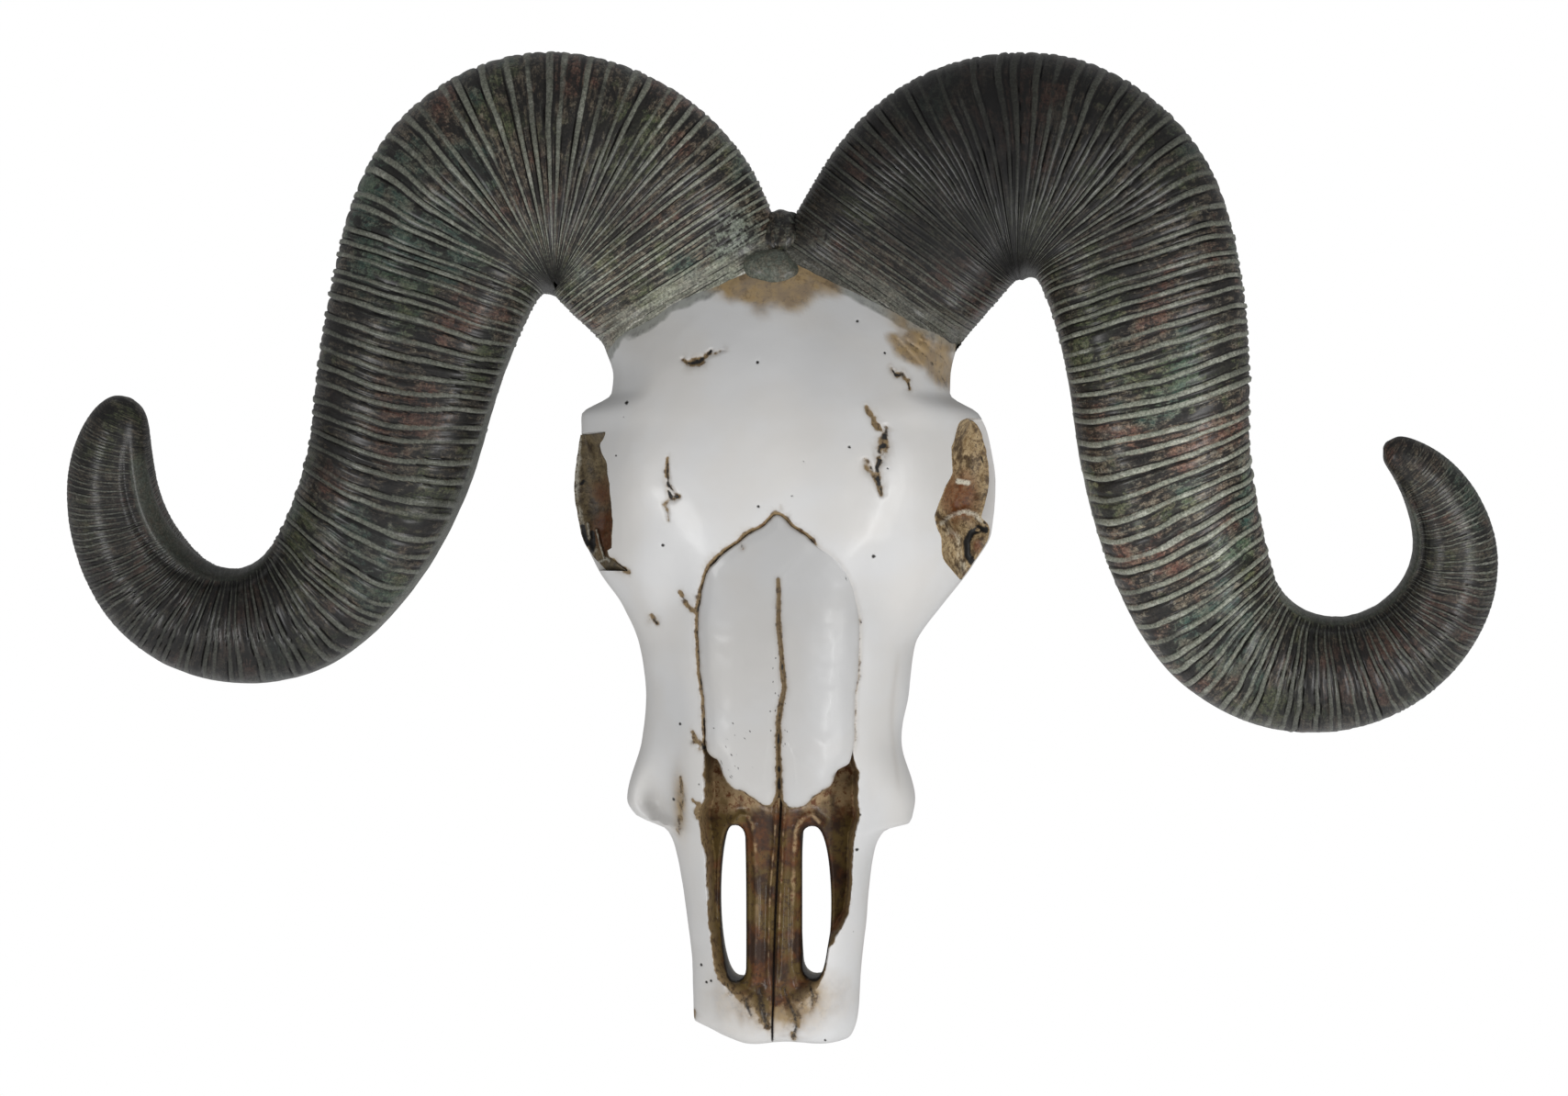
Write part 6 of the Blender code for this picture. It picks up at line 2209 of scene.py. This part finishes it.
@dataclass(frozen=True)
class SocketFinish:
    """Stained wall of an eye socket: olive and rust, with pale worn lumps and black painted shade in the
    holes.
    """

    side: Side
    olive: Triple = srgb(140, 114, 76)
    beige: Triple = srgb(194, 172, 134)
    rust: Triple = srgb(108, 56, 14)
    pale: Triple = srgb(214, 208, 190)
    dark: Triple = srgb(62, 46, 30)
    black: Triple = srgb(16, 14, 13)
    dim: float = 1.0

    def material(self) -> bpy.types.Material:
        """Builds the material."""
        bench = Bench(f"socket_stain_{self.side.label}")
        fine = bench.grain(bench.place, 1000.0, 3.0, 0.7)
        medium = bench.grain(bench.place, 150.0, 4.0, 0.65)
        blot = bench.grain(bench.place, 300.0, 5.0, 0.8)
        rust = bench.broken(bench.number("rust"), medium, 0.9, 0.25, 0.8)
        tone = bench.coats(
            self.olive,
            (bench.span(blot, 0.38, 0.66), self.beige),
            (bench.span(medium, 0.34, 0.54, 0.85, 0.0), self.dark),
            (bench.times(rust, bench.span(blot, 0.32, 0.6, 1.0, 0.75)), self.rust),
            (bench.broken(bench.number("pale"), blot, 1.0, 0.3, 0.8), self.pale),
            (bench.span(fine, 0.5, 0.64, 0.0, 0.7), self.dark),
            # Black painted shade in the holes, with the darker hollows of the rough wall.
            (bench.broken(bench.number("dark"), fine, 0.5, 0.25, 0.7), self.black),
        )
        return bench.dress({
            "Base Color": bench.shaded(tone, (self.dim,) * 3),
            "Roughness": bench.span(medium, 0.3, 0.7, 0.5, 0.75),
            "Normal": bench.relief((medium, 0.5, 0.0008), (fine, 0.5, 0.0002)),
        })


@dataclass(frozen=True)
class SteelFinish:
    """Plated steel of the hanger."""

    plate: Triple = srgb(176, 174, 168)
    dull: Triple = srgb(128, 124, 116)

    def material(self) -> bpy.types.Material:
        """Builds the material."""
        bench = Bench("hanger_steel")
        lines = bench.grain(bench.stretched(bench.place, (30.0, 900.0, 900.0)), 1.0, 3.0, 0.6)
        spots = bench.grain(bench.place, 260.0, 4.0, 0.6)
        return bench.dress({
            "Base Color": bench.blend(bench.span(spots, 0.4, 0.7), self.plate, self.dull),
            "Metallic": 1.0,
            "Roughness": bench.span(lines, 0.3, 0.7, 0.3, 0.5),
            "Normal": bench.relief((lines, 0.2, 0.0001), (spots, 0.2, 0.0001)),
        })


@dataclass(frozen=True)
class FloorFinish:
    """The studio's plain pale floor."""

    pale: Triple = (0.8, 0.8, 0.8)
    cloudy: Triple = (0.76, 0.76, 0.76)
    roughness: float = 0.9
    glow: float = 0.3

    def material(self) -> bpy.types.Material:
        """Builds the material."""
        bench = Bench("studio_floor")
        cloud = bench.grain(bench.place, 3.0, 2.0, 0.5)
        return bench.dress({
            "Base Color": bench.blend(bench.span(cloud, 0.3, 0.7, 0.0, 0.1), self.pale, self.cloudy),
            "Roughness": self.roughness,
            "Emission Color": (1.0, 1.0, 1.0),
            "Emission Strength": self.glow,
        })


# The studio.


@dataclass(frozen=True)
class Lamp:
    """A soft lamp: where it stands, its width and height in metres and its power in watts."""

    name: str
    place: Triple
    size: tuple[float, float]
    power: float


@dataclass
class Studio:
    """Floor, lamps, white surroundings and the camera."""

    camera_place: Triple = (0.08188886, -1.57501796, -0.09252)
    camera_turn: float = 3.0
    lens: float = 90.0
    sensor: float = 36.0
    floor_place: Triple = (0.0, 0.7, -0.75)
    floor_radius: float = 2.2
    sky: float = 0.3
    aim: Triple = (0.0, -0.04, -0.1)
    lamps: tuple[Lamp, ...] = (
        Lamp("lamp_right", (0.75, -0.8, -0.3), (0.4, 0.6), 3.9),
        Lamp("lamp_right_strip", (0.6, -0.75, -0.35), (0.03, 0.4), 0.8),
        Lamp("lamp_left", (-0.85, -0.95, -0.4), (0.25, 0.4), 3.7),
        Lamp("lamp_front", (0.3, -1.6, -0.2), (0.5, 0.7), 1.1),
    )

    def build(self) -> None:
        """Sets up everything that isn't the object."""
        self.lay_floor()
        self.light()
        self.surround()
        self.point_camera()
        bpy.context.scene.view_settings.view_transform = "Standard"

    def lay_floor(self) -> None:
        """The round floor, well below the object."""
        build = bmesh.new()
        bmesh.ops.create_circle(build, cap_ends=True, segments=96, radius=self.floor_radius)
        bmesh.ops.translate(build, vec=self.floor_place, verts=build.verts)
        floor = to_object(build, "studio_floor_disc")
        floor.data.materials.append(FloorFinish().material())

    def light(self) -> None:
        """The lamps, each turned towards the object."""
        for lamp in self.lamps:
            data = bpy.data.lights.new(lamp.name, "AREA")
            data.shape = "RECTANGLE"
            data.size, data.size_y = lamp.size
            data.energy = lamp.power
            made = bpy.data.objects.new(lamp.name, data)
            made.location = lamp.place
            way = Vector(self.aim) - Vector(lamp.place)
            made.rotation_euler = way.to_track_quat("-Z", "Y").to_euler()
            bpy.context.scene.collection.objects.link(made)

    def surround(self) -> None:
        """A white backdrop for the camera and an even soft light for everything else."""
        world = bpy.data.worlds.new("studio_white")
        world.use_nodes = True
        bpy.context.scene.world = world
        tree = world.node_tree
        seen = tree.nodes.new("ShaderNodeLightPath").outputs["Is Camera Ray"]
        shades = []
        for strength in (self.sky, 1.0):
            shade = tree.nodes.new("ShaderNodeBackground")
            shade.inputs["Color"].default_value = (1.0, 1.0, 1.0, 1.0)
            shade.inputs["Strength"].default_value = strength
            shades.append(shade)
        mix = tree.nodes.new("ShaderNodeMixShader")
        tree.links.new(seen, mix.inputs["Fac"])
        tree.links.new(shades[0].outputs["Background"], mix.inputs[1])
        tree.links.new(shades[1].outputs["Background"], mix.inputs[2])
        tree.links.new(mix.outputs["Shader"], tree.nodes["World Output"].inputs["Surface"])

    def point_camera(self) -> None:
        """The camera, where the photograph was taken from."""
        data = bpy.data.cameras.new("photo_camera")
        data.lens = self.lens
        data.sensor_width = self.sensor
        made = bpy.data.objects.new("photo_camera", data)
        made.location = self.camera_place
        made.rotation_euler = (math.radians(90.0), 0.0, math.radians(self.camera_turn))
        bpy.context.scene.collection.objects.link(made)
        bpy.context.scene.camera = made


class RamSkull:
    """The whole object: bone, nasal plate, sockets, horns, crown and hanger."""

    def __init__(self, nodes: dict[str, bpy.types.Object]) -> None:
        """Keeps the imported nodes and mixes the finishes."""
        self.nodes = nodes
        self.bone = BoneFinish().material()
        self.horn = HornFinish().material()
        self.stains = {
            Side.LEFT: SocketFinish(
                Side.LEFT, olive=srgb(112, 96, 66), beige=srgb(150, 132, 98), dim=0.6
            ).material(),
            Side.RIGHT: SocketFinish(Side.RIGHT).material(),
        }
        self.steel = SteelFinish().material()

    def build(self) -> None:
        """Builds and dresses every piece in order, and reports each."""
        casting = BoneCasting().build([socket.pocket() for socket in SOCKETS])
        self.report(hand_over(casting, self.bone, "bone", "cranium", "upper_jaw", "muzzle", "nasal_floor"))
        self.report(hand_over(NasalPlate().build(), self.bone, "bone", "nasal_bones"))
        for socket in SOCKETS:
            stain = self.stains[socket.side]
            self.report(hand_over(socket.build(), stain, "stain", f"eye_socket_{socket.side.label}"))
        for horn in HORNS:
            parts = [f"horn_{horn.side.label}_{part}" for part in ("arch", "shaft", "hook")]
            self.report(hand_over(horn.build(), self.horn, "horn", *parts))
        crown = CrownBoss()
        self.report(hand_over(crown.build_boss(), self.horn, "horn", "crown_boss"))
        self.report(hand_over(crown.build_web(), self.horn, "horn"))
        self.dress_hanger()

    def dress_hanger(self) -> None:
        """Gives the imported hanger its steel."""
        for name in ("hanger_strip", "hanger_pin_left", "hanger_pin_right"):
            node = self.nodes[name]
            node.data.materials.clear()
            node.data.materials.append(self.steel)
            self.report(node)

    def report(self, piece: bpy.types.Object) -> None:
        """Logs a finished piece and its number of faces."""
        LOG.info("%s: %d faces", piece.name, len(piece.data.polygons))


def main() -> None:
    """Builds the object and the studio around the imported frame."""
    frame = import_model()
    RamSkull(frame["nodes"]).build()
    Studio().build()


if __name__ == "__main__":
    logging.basicConfig(level=logging.INFO, format="%(message)s", stream=sys.stdout)
    main()
